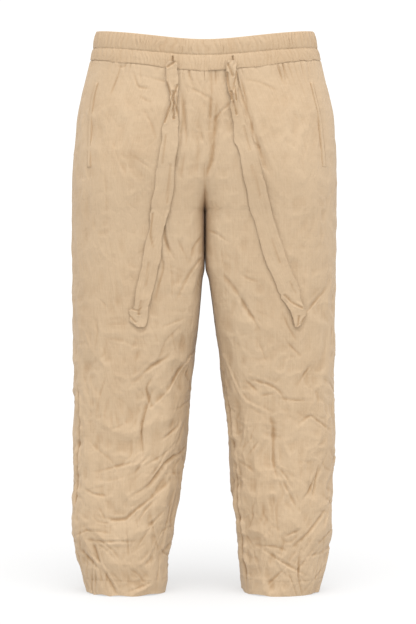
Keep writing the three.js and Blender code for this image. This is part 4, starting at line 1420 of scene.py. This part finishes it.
@dataclass
class LegPanel:
    """The front or back of one leg, from under the waistband to the turned-up hem."""

    leg: Leg
    face: Face
    relief: Relief
    ties: Sequence[Tie]
    stitching: Stitching
    columns: int = 190
    rise_rows: int = 120
    leg_rows: int = 300
    coarse: int = 5                # points of the outside to one of the inside
    under_band: float = 0.004      # how far the panel runs up into the band
    pressed: float = 0.0007        # how deep it lies there
    pressed_range: tuple[float, float] = (0.0035, -0.0005)    # under the seam
    tuck: float = 0.0030           # under the band
    tuck_spacing: float = 0.0125
    tuck_reach: float = 0.016
    tuck_uneven: float = 0.020     # what noise adds to that reach
    tuck_shortest: float = 0.006
    seam_dip: float = 0.0009
    seam_width: float = 0.0022
    centre_dip: float = 0.25       # share of the dip at the centre seam
    seam_pucker: float = 0.0005
    pucker_width: float = 0.007
    pull: float = 0.0050           # of the seam that is drawn in
    pull_width: float = 0.0034
    ridge: float = 0.5             # share of the pull, beside it
    ridge_place: float = 0.008
    ridge_width: float = 0.0035
    ruck: float = 0.60             # share of the pull, across it
    ruck_width: float = 0.015
    elastic_pucker: float = 0.0022
    elastic_across: float = 0.038  # from the side seam
    elastic_up: float = 0.036      # from the hem
    hem_dip: float = 0.0005
    hem_dip_width: float = 0.0014
    hem_ripple: float = 0.0003
    hem_ripple_width: float = 0.005
    hem_wave: float = 0.0030
    hem_wave_up: float = 0.025
    narrow_passes: int = 9         # of smoothing, which narrow troughs stand out from
    narrow_full: float = 0.0011    # a narrow trough this deep shows its full painted shade
    narrow_share: float = 0.75
    broad_passes: int = 70
    broad_full: float = 0.0014
    broad_share: float = 0.45
    thigh_shade_foot: tuple[float, float] = (-0.45, -0.39)    # levels where the painted shade line between the thighs starts
    thigh_shade_head: tuple[float, float] = (0.27, 0.32)      # and ends, below the waist
    thigh_shade_width: float = 0.007

    def levels(self, share: Array) -> Array:
        """The level of each grid point: even steps to the crotch, then even steps down.

        Args:
            share: each column's share of the way round.

        Returns:
            Rows by columns.
        """
        top = np.full(len(share), WAIST_SEAM.sides)
        for _ in range(8):
            top = WAIST_SEAM.at(self.leg.angle(top, self.face, share))
        top = top + self.under_band
        rise = np.linspace(0, 1, self.rise_rows, endpoint=False)[:, None]
        down = np.linspace(0, 1, self.leg_rows)[:, None]
        crotch = self.leg.split
        return np.concatenate([
            top + (crotch - top) * rise,
            crotch + (HEM_LEVEL - crotch) * down + 0 * share,
        ])

    def height(self, at: Array, out: Array, level: Array, share: Array, girth: Array) -> Array:
        """The relief of this panel: creases, tucks, puckers and the dips at its seams.

        Args:
            at: points on the smooth ring.
            out: the ways out there.
            level: their levels.
            share: their shares of the way round.
            girth: the panel's width at each row, measured along the cloth.

        Returns:
            Heights off the smooth ring.
        """
        to_side, to_seam = share * girth, (1 - share) * girth
        ripple = self.relief.noise[3].read(0.0, 0.0, level * 115)
        height = self._tucked(self.relief.height(at, out), at, level, share, to_side)
        height = height + self._seams(level, to_side, to_seam, ripple)
        height = height + self._hem(at, level, to_side, ripple)
        if self.face is Face.FRONT:
            under = np.max([tie.cover(at[..., 0], at[..., 2]) for tie in self.ties], axis=0)
            height = height - under * np.clip(height - 0.0001, 0, 1)
        return height

    def _tucked(self, height: Array, at: Array, level: Array, share: Array,
                to_side: Array) -> Array:
        """The relief with tucks under the band, and pressed flat where it runs into it.

        The count of tucks so far is the way from the side over the spacing, pushed on and
        back by noise; a tuck is the size of its half-turn's sine, and fades downwards.
        """
        noise = self.relief.noise
        over = WAIST_SEAM.at(self.leg.angle(level, self.face, share)) - level
        below = np.clip(over, 0, 1)
        wander = noise[0].read(to_side / 0.04, below / 0.05, 0.0)
        count = to_side / self.tuck_spacing + 1.4 * wander
        tall = noise[1].read(count, 0.5, 0.0)
        tuck = (np.abs(np.sin(np.pi * count)) ** 0.8 - 0.55) * (0.75 + 0.5 * tall)
        reach = self.tuck_reach + self.tuck_uneven * noise[2].at(at * (30, 30, 0))
        fade = np.exp(-(below / np.maximum(reach, self.tuck_shortest)) ** 1.3)
        pinched = 1 - 0.7 * bell(below, 0.003)
        inside = smoothstep(over, *self.pressed_range)
        return (height + self.tuck * tuck * pinched * fade) * (1 - 0.8 * inside) - self.pressed * inside

    def _seams(self, level: Array, to_side: Array, to_seam: Array, ripple: Array) -> Array:
        """The dips and puckers along the seams, and the rucks where one is drawn in."""
        edge = np.minimum(to_side, to_seam)
        at_centre = (to_seam < to_side) & (level > self.leg.split)
        dip = self.seam_dip * np.where(at_centre, self.centre_dip, 1.0)
        along = (self.seam_pucker * ripple * np.exp(-(edge / self.pucker_width) ** 1.2)
                 - dip * np.exp(-(edge / self.seam_width) ** 1.5))
        foot, full, fading, end = PULLED_SEAMS[self.leg.name]
        pull = self.pull * smoothstep(level, foot, full) * smoothstep(level, end, fading)
        away = to_side if self.leg.name == "right" else to_seam
        ruck = self.relief.noise[3].read(away * 30, 9.0, level * 88)
        groove = (np.exp(-(away / self.pull_width) ** 1.3)
                  - self.ridge * bell(away - self.ridge_place, self.ridge_width))
        return (along + self.ruck * pull * ruck * bell(away, self.ruck_width)
                - pull * (0.75 + 0.5 * ripple) * groove)

    def _hem(self, at: Array, level: Array, to_side: Array, ripple: Array) -> Array:
        """The gathers that the hem's elastic draws up, and the dip at its stitched line."""
        up = level - HEM_LEVEL
        gather = np.abs(self.relief.noise[1].at(at * (90, 90, 7) + 3)) * 2.2 - 0.8
        drawn = np.exp(-(to_side / self.elastic_across) ** 2 - (up / self.elastic_up) ** 3)
        off_line = up - HEM_DEPTH
        return (self.elastic_pucker * gather * drawn
                - self.hem_dip * bell(off_line, self.hem_dip_width)
                + self.hem_ripple * ripple * bell(off_line, self.hem_ripple_width))

    def _painted_shade(self, at: Array, level: Array, height: Array) -> Array:
        """Painted shade: in narrow troughs, in broad hollows, and along the line where the thighs lie
        together.
        """
        narrow = hollows(height, self.narrow_passes)
        broad = hollows(height, self.broad_passes) - narrow
        between = (smoothstep(level, *self.thigh_shade_foot) * smoothstep(-level, *self.thigh_shade_head)
                   * bell(at[..., 0], self.thigh_shade_width))
        return (self.narrow_share * np.clip(narrow / self.narrow_full, -1, 1) + between
                + self.broad_share * np.clip(broad / self.broad_full, -0.5, 1))

    def _shell(self, outside: Array, inside: Array) -> tuple[Array, list[Array], tuple]:
        """Joins the outside to a coarser inside round the rim.

        Args:
            outside: points, rows by columns by 3.
            inside: the inside's points below them.

        Returns:
            The points, the faces, and the index of the inside points that are used.
        """
        rows, columns = outside.shape[:2]
        picked_rows = np.unique(np.append(np.arange(0, rows, self.coarse), rows - 1))
        picked = np.unique(np.append(np.arange(0, columns, self.coarse), columns - 1))
        chosen = np.ix_(picked_rows, picked)
        points = np.concatenate([outside.reshape(-1, 3), inside[chosen].reshape(-1, 3)])
        first = rows * columns
        inner_quads = grid_quads(len(picked_rows), len(picked), first)[:, ::-1]
        fine_row, fine_column = rim_loop(np.arange(rows), np.arange(columns))
        fine = fine_row * columns + fine_column
        near_row = np.clip(np.round(fine_row / self.coarse), 0, len(picked_rows) - 1).astype(int)
        near_column = np.clip(np.round(fine_column / self.coarse), 0, len(picked) - 1).astype(int)
        near_row[fine_row == rows - 1] = len(picked_rows) - 1
        near_column[fine_column == columns - 1] = len(picked) - 1
        coarse = first + near_row * len(picked) + near_column
        fine_next, coarse_next = np.roll(fine, -1), np.roll(coarse, -1)
        rim = np.stack([fine_next, fine, coarse], axis=1)
        rim_on = np.stack([fine_next, coarse, coarse_next], axis=1)[coarse != coarse_next]
        return points, outward(points, [grid_quads(rows, columns), inner_quads, rim, rim_on]), chosen

    def build(self) -> bpy.types.Object:
        """The panel as a thin shell: a fine outside, a plainer inside, joined at the rim.

        Returns:
            The object.
        """
        share = np.linspace(0, 1, self.columns)
        level = self.levels(share)
        wide = self.leg.along(level, self.face, np.broadcast_to(share, level.shape))
        theta = self.leg.angle(level, self.face, wide)
        at, out = self.leg.point(level, theta)
        steps = np.linalg.norm(np.diff(at[..., :2], axis=1), axis=-1)
        girth = steps.sum(axis=1, keepdims=True)
        height = self.height(at, out, level, wide, girth)
        way = out.copy()
        way[..., 0] *= smoothstep(np.abs(at[..., 0]), 0.0003, NEAR_CENTRE)
        wave = self.hem_wave * np.abs(self.relief.noise[2].at(at * (34, 34, 0) + 2))
        at[..., 2] += wave * np.exp(-(level - HEM_LEVEL) / self.hem_wave_up)
        outside = at + way * height[..., None]
        rows = len(level)
        sewn = int(np.argmin(np.abs(level[:, 0] - HEM_LEVEL - HEM_DEPTH)))
        self.stitching.add(outside[sewn], out[sewn])
        lowest = np.minimum(self._lowest(height, self.coarse), height)
        edge = np.isin(np.arange(rows), (0, rows - 1))[:, None]
        cloth = np.where(level < HEM_LEVEL + HEM_DEPTH, HEM_CLOTH, CLOTH)[..., None]
        inside = at + way * np.where(edge, height, lowest)[..., None] - out * cloth
        points, faces, chosen = self._shell(outside, inside)
        uv = np.stack([wide * girth, level], axis=-1)
        uv = np.concatenate([uv.reshape(-1, 2), uv[chosen].reshape(-1, 2)])
        # the outside's painted shade, as the trough mark; the inside has none
        trough = np.zeros(len(points))
        trough[:height.size] = self._painted_shade(at, level, height).ravel()
        name = f"{self.face.name.lower()}_{self.leg.name}"
        made = set_ride(make_object(f"{name}_cloth", points, faces, uv, {"trough": trough}), name)
        return made

    @staticmethod
    def _lowest(height: Array, reach: int) -> Array:
        """The lowest height within reach of each point, along rows and then columns."""
        lowest = height
        for axis in (0, 1):
            pads = [(reach, reach) if k == axis else (0, 0) for k in (0, 1)]
            padded = np.pad(lowest, pads, mode="edge")
            size = height.shape[axis]
            shifts = [np.take(padded, np.arange(k, k + size), axis=axis)
                      for k in range(2 * reach + 1)]
            lowest = np.min(shifts, axis=0)
        return lowest


# ---------- waistband

@dataclass
class WaistbandHalf:
    """Front or back of the gathered waistband: an elastic channel over a tie channel.

    A height on the band is 0 at its seam, 1 between the channels and 2 at its top.
    """

    face: Face
    legs: dict[str, Leg]
    stitching: Stitching
    columns: int = 420
    roll_rows: int = 5
    lower_puff: float = 0.0009
    upper_puff: float = 0.0017
    gather: float = 0.0019
    upper_spacing: float = 0.0088  # from one gather to the next
    lower_spacing: float = 0.0064
    fine_spacing: float = 0.0040
    groove: float = 0.0007         # between the channels
    groove_width: float = 0.05     # in heights
    overhang: float = 0.0004       # over the seam
    overhang_width: float = 0.25   # in heights
    foot_wave: float = 0.0017      # of the lower edge
    foot_drop: float = 0.0006
    roll: float = 0.0013           # how high the top edge rolls over
    inner_gather: float = 0.0012
    inner_fine: float = 0.0004
    slit: float = 0.0026           # how deep a buttonhole is
    slit_width: float = 0.0011
    slit_shade_width: float = 0.0013
    rim: float = 0.0007            # round the buttonhole
    rim_place: float = 0.0026
    rim_width: float = 0.0012
    low_gather: float = 0.35       # gathers below this get painted shade
    all_over_shade: float = 0.22           # painted shade that darkens the whole band a little
    fullness: float = 1.25         # cut length over gathered length
    depth: float = 0.052           # cut depth of the side that shows

    def build(self) -> bpy.types.Object:
        """The band as a loop carried round the waist: up the outside, over, down the inside.

        Returns:
            The object.
        """
        outer_heights = np.concatenate([np.linspace(0, 0.96, 20), np.linspace(1.0, 1.92, 26),
                                        np.linspace(1.95, 2.0, 3)])
        inner_heights = np.linspace(2.0, 0, 18)
        rows = len(outer_heights) + self.roll_rows + len(inner_heights)
        points = np.empty((rows, self.columns, 3))
        trough = np.zeros(points.shape[:2])
        halves, theta, foot = self._seam()
        along = lengths_along(foot)
        for name, chosen in halves.items():
            points[:, chosen], trough[:, chosen] = self._profile(
                self.legs[name], theta[chosen], along[chosen], outer_heights, inner_heights)
        flat = points.reshape(-1, 3)
        faces = outward(flat, self._loop_faces(rows))
        level_out = np.gradient(points[0], axis=0)[:, [1, 0, 2]] * (1, -1, 0)
        level_out *= np.sign(np.sum(level_out * foot * (1, 1, 0), axis=1))[:, None]
        for row in (int(np.argmin(np.abs(outer_heights - 1.0))), 1):
            self.stitching.add(points[row], level_out)
        climb = lengths_along(points.mean(axis=1))
        uv = np.stack(np.meshgrid(along, climb), axis=-1).reshape(-1, 2)
        name = f"waistband_{self.face.name.lower()}"
        made = make_object(f"{name}_cloth", flat, faces, uv, {"trough": trough.ravel()})
        set_ride(made, name)
        [f"{self.face.name.lower()}_{side}" for side in self.legs]
        LOG.info("%s: %.0f mm round", name, along[-1] * 1000)
        return made

    def _seam(self) -> tuple[dict[str, Array], Array, Array]:
        """The columns over each leg, and every column's angle and foot on the waist seam."""
        share = np.linspace(0, 1, self.columns)
        halves = {"right": share < 0.5, "left": share >= 0.5}
        theta = np.zeros(self.columns)
        foot = np.zeros((self.columns, 3))
        for name, chosen in halves.items():
            leg = self.legs[name]
            round_share = np.where(share < 0.5, 2 * share, 2 * (1 - share))[chosen]
            sides = np.full(len(round_share), WAIST_SEAM.sides)
            seam = WAIST_SEAM.at(leg.angle(sides, self.face, round_share))
            theta[chosen] = leg.angle(seam, self.face, round_share)
            foot[chosen] = leg.point(WAIST_SEAM.at(theta[chosen]), theta[chosen])[0]
        return halves, theta, foot

    def _loop_faces(self, rows: int) -> list[Array]:
        """The faces of the loop of that many rows, carried round, and of its two flat ends."""
        faces = [grid_quads(rows + 1, self.columns) % (rows * self.columns)]
        for column in (0, self.columns - 1):
            loop = np.arange(rows) * self.columns + column
            low, high = loop[:rows // 2], loop[::-1][:rows // 2]
            cap = np.stack([low[:-1], low[1:], high[1:], high[:-1]], axis=1)
            faces.append(cap if column else cap[:, ::-1])
            if rows % 2:
                last = np.array([[low[-1], loop[rows // 2], high[-1]]])
                faces.append(last if column else last[:, ::-1])
        return faces

    def _gathers(self, along: Array, height: Array, spacing: float, noise: Lattice,
                 shift: float) -> Array:
        """Rounded puffs with narrow grooves between, uneven in width, height and lean.

        The count of gathers passed so far is the way round over the spacing, pushed on
        and back by noise; a puff is the size of its half-turn's sine, to a low power.

        Args:
            along: the way round at each column.
            height: the height from 0 to 2 at each row, as a column.
            spacing: from one gather to the next.
            noise: the noise that makes them uneven.
            shift: where in the noise to read.

        Returns:
            From 0 in the grooves to about 1, rows by columns.
        """
        slow = noise.read(along / 0.035, height * 0.7, shift)
        lean = noise.read(along / 0.012, height * 1.6, -shift)
        count = along / spacing + 1.3 * slow + 0.45 * lean
        tall = noise.read(count, 0.5, shift)
        return np.abs(np.sin(np.pi * count)) ** 0.75 * (0.62 + 0.55 * tall)

    def _profile(self, leg: Leg, theta: Array, along: Array, outer: Array,
                 inner: Array) -> tuple[Array, Array]:
        """The band's loop of points at each angle, and its painted shade."""
        noise = [Lattice(seed) for seed in (41, 42, 43)]
        seam = WAIST_SEAM.at(theta)
        foot, out = leg.point(seam, theta)
        top = WAIST_TOP_RING.radius(theta)
        head = np.stack([leg.sign * top * np.cos(theta), -top * np.sin(theta),
                         WAIST_TOP.at(theta)], axis=-1)
        out = out * np.stack([smoothstep(np.abs(foot[:, 0]), 0, NEAR_CENTRE),
                              1 + 0 * theta, 1 + 0 * theta], axis=-1)
        line = CHANNEL_LINE.at(theta)

        def middle(height: Array) -> Array:
            """Points of the smooth band at heights from 0, the seam, to 2, the top."""
            h = height[:, None]
            share = np.where(h < 1, h * line, line + (1 - line) * (h - 1))[..., None]
            return foot + (head - foot) * share

        base = middle(outer)
        h = outer[:, None]
        puff = np.where(h < 1, self.lower_puff * np.sin(np.pi * h),
                        self.upper_puff * np.sin(np.pi * (h - 1) * 0.86))
        upper = self._gathers(along, h, self.upper_spacing, noise[0], 2.0)
        lower = self._gathers(along, h, self.lower_spacing, noise[1], 9.0)
        fine = self._gathers(along, h, self.fine_spacing, noise[2], 5.0)
        crowd = 0.85 + 0.3 * np.abs(np.cos(theta))
        swell_up = np.where(h > 1, 0.25 + 0.75 * np.sin(np.pi * np.clip((h - 1) * 0.9, 0, 1)) ** 0.6, 0)
        swell_low = np.where(h <= 1, 0.55 + 0.75 * np.sin(np.pi * np.clip(h, 0, 0.999)) ** 0.7, 0)
        gathers = self.gather * crowd * (swell_up * (upper + 0.12 * fine - 0.45)
                                         + swell_low * (0.42 * lower + 0.15 * fine - 0.25))
        groove = -self.groove * bell(h - 1, self.groove_width)
        slit, slit_shade = self._buttonholes(base)
        overhang = self.overhang * bell(h, self.overhang_width)
        lift = puff + gathers + groove + slit + overhang
        outside = base + out * lift[..., None]
        ripple = noise[0].read(along / 0.016, 0.0, 5.0)
        outside[..., 2] += (self.foot_wave * ripple - self.foot_drop) * np.clip(1 - h / 0.6, 0, 1)
        back_lift = -BAND_CLOTH + self.inner_fine * fine[-1]
        turn = np.linspace(0, np.pi, self.roll_rows + 2)[1:-1, None]
        half = (lift[-1] - back_lift) / 2
        roll = base[-1] + out * (back_lift + half + half * np.cos(turn))[..., None]
        roll[..., 2] = outside[-1][:, 2] + self.roll * np.sin(turn)
        inner_h = inner[:, None]
        puckers = self._gathers(along, inner_h, self.upper_spacing, noise[0], 2.0)
        inner_lift = back_lift - self.inner_gather * puckers * np.sin(
            np.pi * np.clip(inner_h / 2, 0, 1))
        inside = middle(inner) + out * inner_lift[..., None]
        # Painted shade: in the grooves between gathers, along the channel line, in the buttonholes, and a
        # little over the whole band.
        between = np.clip((self.low_gather - np.where(h > 1, upper, lower)) / self.low_gather, 0, 1)
        band_shade = between * 0.35
        band_shade = band_shade + self.all_over_shade + 0.2 * bell(h - 1, 0.03) + slit_shade
        band_shade = np.concatenate([band_shade, np.zeros((len(roll) + len(inner), len(theta)))])
        return np.concatenate([outside, roll, inside]), np.clip(band_shade, -1, 1)

    def _buttonholes(self, base: Array) -> tuple[Array, Array]:
        """The slits that the ties come out of: a narrow trough with a raised rim, and painted shade in them.
        """
        lift = np.zeros(base.shape[:-1])
        shade = np.zeros(base.shape[:-1])
        for x, high, low in BUTTONHOLES:
            away = np.hypot(base[..., 0] - x, np.clip(base[..., 2] - high, 0, 1)
                            + np.clip(low - base[..., 2], 0, 1)) + (base[..., 1] > 0)
            lift -= self.slit * bell(away, self.slit_width)
            lift += self.rim * bell(away - self.rim_place, self.rim_width)
            # painted shade in the slit
            shade += bell(away, self.slit_shade_width)
        return lift, shade


# ---------- pocket welts

@dataclass
class PocketWelt:
    """The narrow strip along a slanted side pocket's mouth."""

    leg: Leg
    stitching: Stitching
    rows: int = 150
    columns: int = 14
    proud: float = 0.0013
    lie: float = 0.0002            # off the panel at its edges
    sunk: float = 0.0006           # how far its underside is in the panel
    edge_round: float = 0.0014
    end_round: float = 0.003
    ripple: float = 0.0002
    stitch_dip: float = 0.0004
    stitch_inset: float = 0.0019
    stitch_width: float = 0.0007
    edge_shade: float = 0.0008     # how wide the painted shade at its edges is
    dip_full: float = 0.0005       # a dip this deep shows its full painted shade

    def build(self) -> bpy.types.Object:
        """The strip as a low rounded loop carried down the pocket's line.

        Returns:
            The object.
        """
        rows = WELTS[self.leg.name]
        share = np.linspace(0, 1, self.rows)[:, None]
        level = rows[0, 0] + (rows[-1, 0] - rows[0, 0]) * share
        outer, inner = (Column(rows[:, 0], rows[:, k]).at(level) for k in (1, 2))
        across = np.linspace(0, 1, self.columns)
        at, out = self.leg.front_point(outer + (inner - outer) * across, level + 0 * across)
        wide = np.linalg.norm(at[:, -1] - at[:, 0], axis=-1)[:, None]
        ends = np.minimum(share, 1 - share) * (rows[0, 0] - rows[-1, 0])
        edge = np.minimum(across, 1 - across) * wide
        crown = np.minimum(smoothstep(edge, -0.0002, self.edge_round),
                           smoothstep(ends, -0.0004, self.end_round))
        stitched = -self.stitch_dip * bell(edge - self.stitch_inset, self.stitch_width)
        ripple = self.ripple * Lattice(51).at(at * (120, 120, 120))
        lift = self.lie + self.proud * crown + stitched + ripple * crown
        outside = at + out * lift[..., None]
        for column in (2, self.columns - 3):
            self.stitching.add(outside[3:-3, column], out[3:-3, column])
        inside = at - out * self.sunk
        points = np.concatenate([outside.reshape(-1, 3), inside.reshape(-1, 3)])
        count = self.rows * self.columns
        row, column = rim_loop(np.arange(self.rows), np.arange(self.columns))
        loop = row * self.columns + column
        rim = np.stack([np.roll(loop, -1), loop, loop + count, np.roll(loop, -1) + count], axis=1)
        quads = grid_quads(self.rows, self.columns)
        faces = outward(points, [quads, quads[:, ::-1] + count, rim])
        uv = np.stack([across * wide, level + 0 * across], axis=-1).reshape(-1, 2)
        # painted shade along the stitched dips and at the strip's edges
        trough = np.clip(-stitched / self.dip_full, 0, 1) + bell(edge, self.edge_shade) + 0 * level
        name = f"pocket_welt_{self.leg.name}"
        made = make_object(f"{name}_cloth", points, faces, np.tile(uv, (2, 1)),
                           {"trough": np.tile(trough.ravel(), 2)})
        return set_ride(made, name)


# ---------- finishes

class Socket:
    """A shader value that Python's operators work on by adding Math nodes."""

    def __init__(self, shader: "Shader", link: Any) -> None:
        """Wraps an output socket or a number.

        Args:
            shader: the material's builder.
            link: an output socket or a number.
        """
        self.shader = shader
        self.link = link

    def _math(self, operation: str, *others: Any) -> "Socket":
        """Adds a Math node of this socket and others."""
        values = {i: getattr(value, "link", value) for i, value in enumerate((self, *others))}
        return self.shader.node("ShaderNodeMath", {"operation": operation}, values)

    def __add__(self, other: Any) -> "Socket":
        """The sum."""
        return self._math("ADD", other)

    def __sub__(self, other: Any) -> "Socket":
        """The difference."""
        return self._math("SUBTRACT", other)

    def __mul__(self, other: Any) -> "Socket":
        """The product."""
        return self._math("MULTIPLY", other)

    def __rsub__(self, other: Any) -> "Socket":
        """The difference, from a number."""
        return Socket(self.shader, other)._math("SUBTRACT", self)

    __radd__ = __add__
    __rmul__ = __mul__

    def sine(self) -> "Socket":
        """The sine."""
        return self._math("SINE")

    def size(self) -> "Socket":
        """The value without its sign."""
        return self._math("ABSOLUTE")

    def at_least(self, low: float) -> "Socket":
        """The larger of this and a number."""
        return self._math("MAXIMUM", low)


class Shader:
    """Builds one material's nodes."""

    def __init__(self, name: str) -> None:
        """Starts a material with its Principled BSDF.

        Args:
            name: the material's name.
        """
        self.material = bpy.data.materials.new(name)
        self.material.use_nodes = True
        self.tree = self.material.node_tree
        self.bsdf = self.tree.nodes["Principled BSDF"]

    def node(self, kind: str, settings: dict[str, Any], values: dict[Any, Any],
             output: Any = 0) -> Socket:
        """Adds a node: its settings first, then its sockets' values or links.

        Args:
            kind: the node's type.
            settings: its own settings.
            values: numbers, colours or links by socket name or place.
            output: the output wanted.

        Returns:
            That output.
        """
        made = self.tree.nodes.new(kind)
        for key, value in settings.items():
            setattr(made, key, value)
        for key, value in values.items():
            value = getattr(value, "link", value)
            if isinstance(value, bpy.types.NodeSocket):
                self.tree.links.new(value, made.inputs[key])
            else:
                made.inputs[key].default_value = value
        return Socket(self, made.outputs[output])

    def feed(self, **values: Any) -> None:
        """Sets or links the Principled BSDF's sockets; underscores stand for spaces.

        Args:
            values: numbers, colours or sockets.
        """
        for key, value in values.items():
            socket = self.bsdf.inputs[key.replace("_", " ")]
            if isinstance(value, Socket):
                self.tree.links.new(value.link, socket)
            else:
                socket.default_value = value


@dataclass(frozen=True)
class CrinkledCotton:
    """Fine plain-woven cotton with slubs, faint crinkles and a soft sheen."""

    light: tuple[float, float, float] = (0.463, 0.340, 0.219)
    # the darker colour: painted shade in troughs mixes towards it, and so do the cloth's own slubs and
    # patches
    shade: tuple[float, float, float] = (0.305, 0.180, 0.082)
    thread: float = 0.00052         # from one thread to the next
    roughness: float = 0.72
    sheen: float = 0.06
    sheen_roughness: float = 0.5
    specular: float = 0.3
    base_tone: float = 0.06         # share of the shade on level cloth
    painted_trough_shade: float = 0.56       # what each of these adds to that share
    slub_up_tone: float = 0.42
    slub_across_tone: float = 0.2
    patch_tone: float = 0.5
    thread_height: float = 0.00005
    slub_height: float = 0.00008
    crinkle_height: float = 0.0007
    crumple_height: float = 0.0042
    bump: float = 0.7

    def material(self, name: str) -> bpy.types.Material:
        """The cloth: two crossed sines for the weave, stretched noise for the slubs, and painted shade where
        the trough mark is high.

        Args:
            name: the material's name.

        Returns:
            The material.
        """
        shader = Shader(name)
        uv = shader.node("ShaderNodeTexCoord", {}, {}, "UV")
        place = shader.node("ShaderNodeTexCoord", {}, {}, "Object")
        split = shader.node("ShaderNodeSeparateXYZ", {}, {0: uv})
        u, v = split, Socket(shader, split.link.node.outputs[1])
        turns = 2 * math.pi / self.thread
        weave = (u * turns).sine() * (v * turns).sine()

        def noise(vector: Socket, scale: float, detail: float, stretch: tuple) -> Socket:
            """Noise on a stretched vector."""
            placed = shader.node("ShaderNodeMapping", {}, {"Vector": vector, "Scale": stretch})
            return shader.node("ShaderNodeTexNoise", {"noise_dimensions": "3D"},
                               {"Vector": placed, "Scale": scale, "Detail": detail})

        slub_up = noise(uv, 620.0, 2.0, (1.0, 0.035, 1.0))
        slub_across = noise(uv, 560.0, 2.0, (0.03, 1.0, 1.0))
        patches = noise(place, 16.0, 3.0, (1.0, 1.0, 0.7))
        crinkle = noise(place, 190.0, 3.0, (1.0, 1.0, 0.7))
        crumple = ((noise(place, 60.0, 3.0, (1.0, 1.0, 0.5)) - 0.5).size()
                   + (noise(place, 130.0, 2.0, (1.0, 1.0, 0.35)) - 0.5).size() * 0.4)
        # The trough mark is painted shade: creases, folds, seams, the thighs' meeting line and the band's
        # grooves go towards the shade colour.
        trough = shader.node("ShaderNodeAttribute", {"attribute_name": "trough"}, {}, "Fac")
        tone = (trough.at_least(0.0) * self.painted_trough_shade + (slub_up - 0.5) * self.slub_up_tone
                + (slub_across - 0.5) * self.slub_across_tone + (patches - 0.5) * self.patch_tone
                + self.base_tone)
        colour = shader.node("ShaderNodeMix", {"data_type": "RGBA", "clamp_factor": True},
                             {0: tone, 6: (*self.light, 1.0), 7: (*self.shade, 1.0)}, 2)
        threads = weave * self.thread_height + (slub_up + slub_across) * self.slub_height
        height = threads + crinkle * self.crinkle_height + crumple * self.crumple_height
        fine = shader.node("ShaderNodeBump", {}, {"Strength": self.bump, "Distance": 1.0,
                                                  "Height": height})
        shader.feed(Base_Color=colour, Normal=fine, Roughness=self.roughness,
                    Sheen_Weight=self.sheen, Sheen_Roughness=self.sheen_roughness,
                    Specular_IOR_Level=self.specular)
        return shader.material


@dataclass(frozen=True)
class StudioWhite:
    """The floor: matt white, lit a little from within so that it stays clear."""

    glow: float = 0.53
    base: float = 0.28

    def material(self) -> bpy.types.Material:
        """The floor's material.

        Returns:
            The material.
        """
        shader = Shader("studio_white")
        shader.feed(Base_Color=(self.base, self.base, self.base, 1.0), Roughness=0.9, Specular_IOR_Level=0.0,
                    Emission_Color=(1.0, 1.0, 1.0, 1.0), Emission_Strength=self.glow)
        return shader.material


# ---------- the studio

@dataclass(frozen=True)
class Studio:
    """The camera, the lights, the floor and the pale surround."""

    camera_x: float = 0.0052
    camera_level: float = -0.480
    camera_distance: float = 2.8
    lens: float = 93.9
    floor_radius: float = 9.0
    floor_corners: int = 96
    surround: float = 1.08
    key_elevation: float = 60.0    # in degrees
    key_turn: float = 6.0          # to the right of straight in front, in degrees
    key_strength: float = 3.0      # in watts to a square metre
    key_softness: float = 70.0     # how wide the light looks, in degrees

    def camera(self) -> None:
        """A level camera in front of the garment."""
        data = bpy.data.cameras.new("camera")
        data.lens = self.lens
        data.sensor_width = 36.0
        data.clip_end = 60.0
        camera = bpy.data.objects.new("camera", data)
        camera.location = (self.camera_x, -self.camera_distance, self.camera_level)
        camera.rotation_euler = (math.pi / 2, 0.0, 0.0)
        bpy.context.scene.collection.objects.link(camera)
        bpy.context.scene.camera = camera

    def key_light(self) -> None:
        """A broad far light, high in front."""
        data = bpy.data.lights.new("key", "SUN")
        data.energy = self.key_strength
        data.angle = math.radians(self.key_softness)
        made = bpy.data.objects.new("key", data)
        made.rotation_euler = (math.radians(90 - self.key_elevation), 0.0,
                               math.radians(self.key_turn))
        bpy.context.scene.collection.objects.link(made)

    def build(self) -> None:
        """The floor, lights and surround."""
        turn = np.linspace(0, 2 * math.pi, self.floor_corners, endpoint=False)
        rim = np.stack([np.cos(turn), np.sin(turn), 0 * turn], axis=1) * self.floor_radius
        mesh = bpy.data.meshes.new("floor")
        mesh.from_pydata((rim + (0, 0, HEM_LEVEL)).tolist(), [], [list(range(len(turn)))])
        floor = bpy.data.objects.new("floor", mesh)
        floor.data.materials.append(StudioWhite().material())
        bpy.context.scene.collection.objects.link(floor)
        self.key_light()
        world = bpy.data.worlds.new("surround")
        world.use_nodes = True
        background = world.node_tree.nodes["Background"]
        background.inputs["Color"].default_value = (1.0, 1.0, 1.0, 1.0)
        background.inputs["Strength"].default_value = self.surround
        bpy.context.scene.world = world
        view = bpy.context.scene.view_settings
        view.view_transform = "Standard"
        view.look = "None"


def main() -> None:
    """Builds the studio and the joggers, piece by piece."""
    logging.basicConfig(level=logging.INFO, format="%(name)s: %(message)s")
    studio = Studio()
    studio.camera()
    cotton = CrinkledCotton().material("crinkled_cotton")
    legs = {name: Leg(name) for name in ("right", "left")}
    ties = [Tie(leg) for leg in legs.values()]
    made: list[bpy.types.Object] = []
    for tie in ties:
        piece, path = tie.build()
        set_ride(piece, f"tie_{tie.leg.name}")
        length = float(np.linalg.norm(np.diff(path, axis=0), axis=1).sum())
        tuple(path[0])
        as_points(path[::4])
        LOG.info("tie %s: %.0f mm", tie.leg.name, length * 1000)
        made.append(piece)
    stitching = Stitching("stitches")
    for leg in legs.values():
        relief = Relief(leg)
        for face in Face:
            made.append(LegPanel(leg, face, relief, ties, stitching).build())
        made.append(PocketWelt(leg, stitching).build())
    for face in Face:
        made.append(WaistbandHalf(face, legs, stitching).build())
    made.append(stitching.build())
    for piece in made:
        piece.data.materials.append(cotton)
    studio.build()
    LOG.info("triangles: %d", sum(len(piece.data.polygons) for piece in made) * 2)


if __name__ == "__main__":
    main()
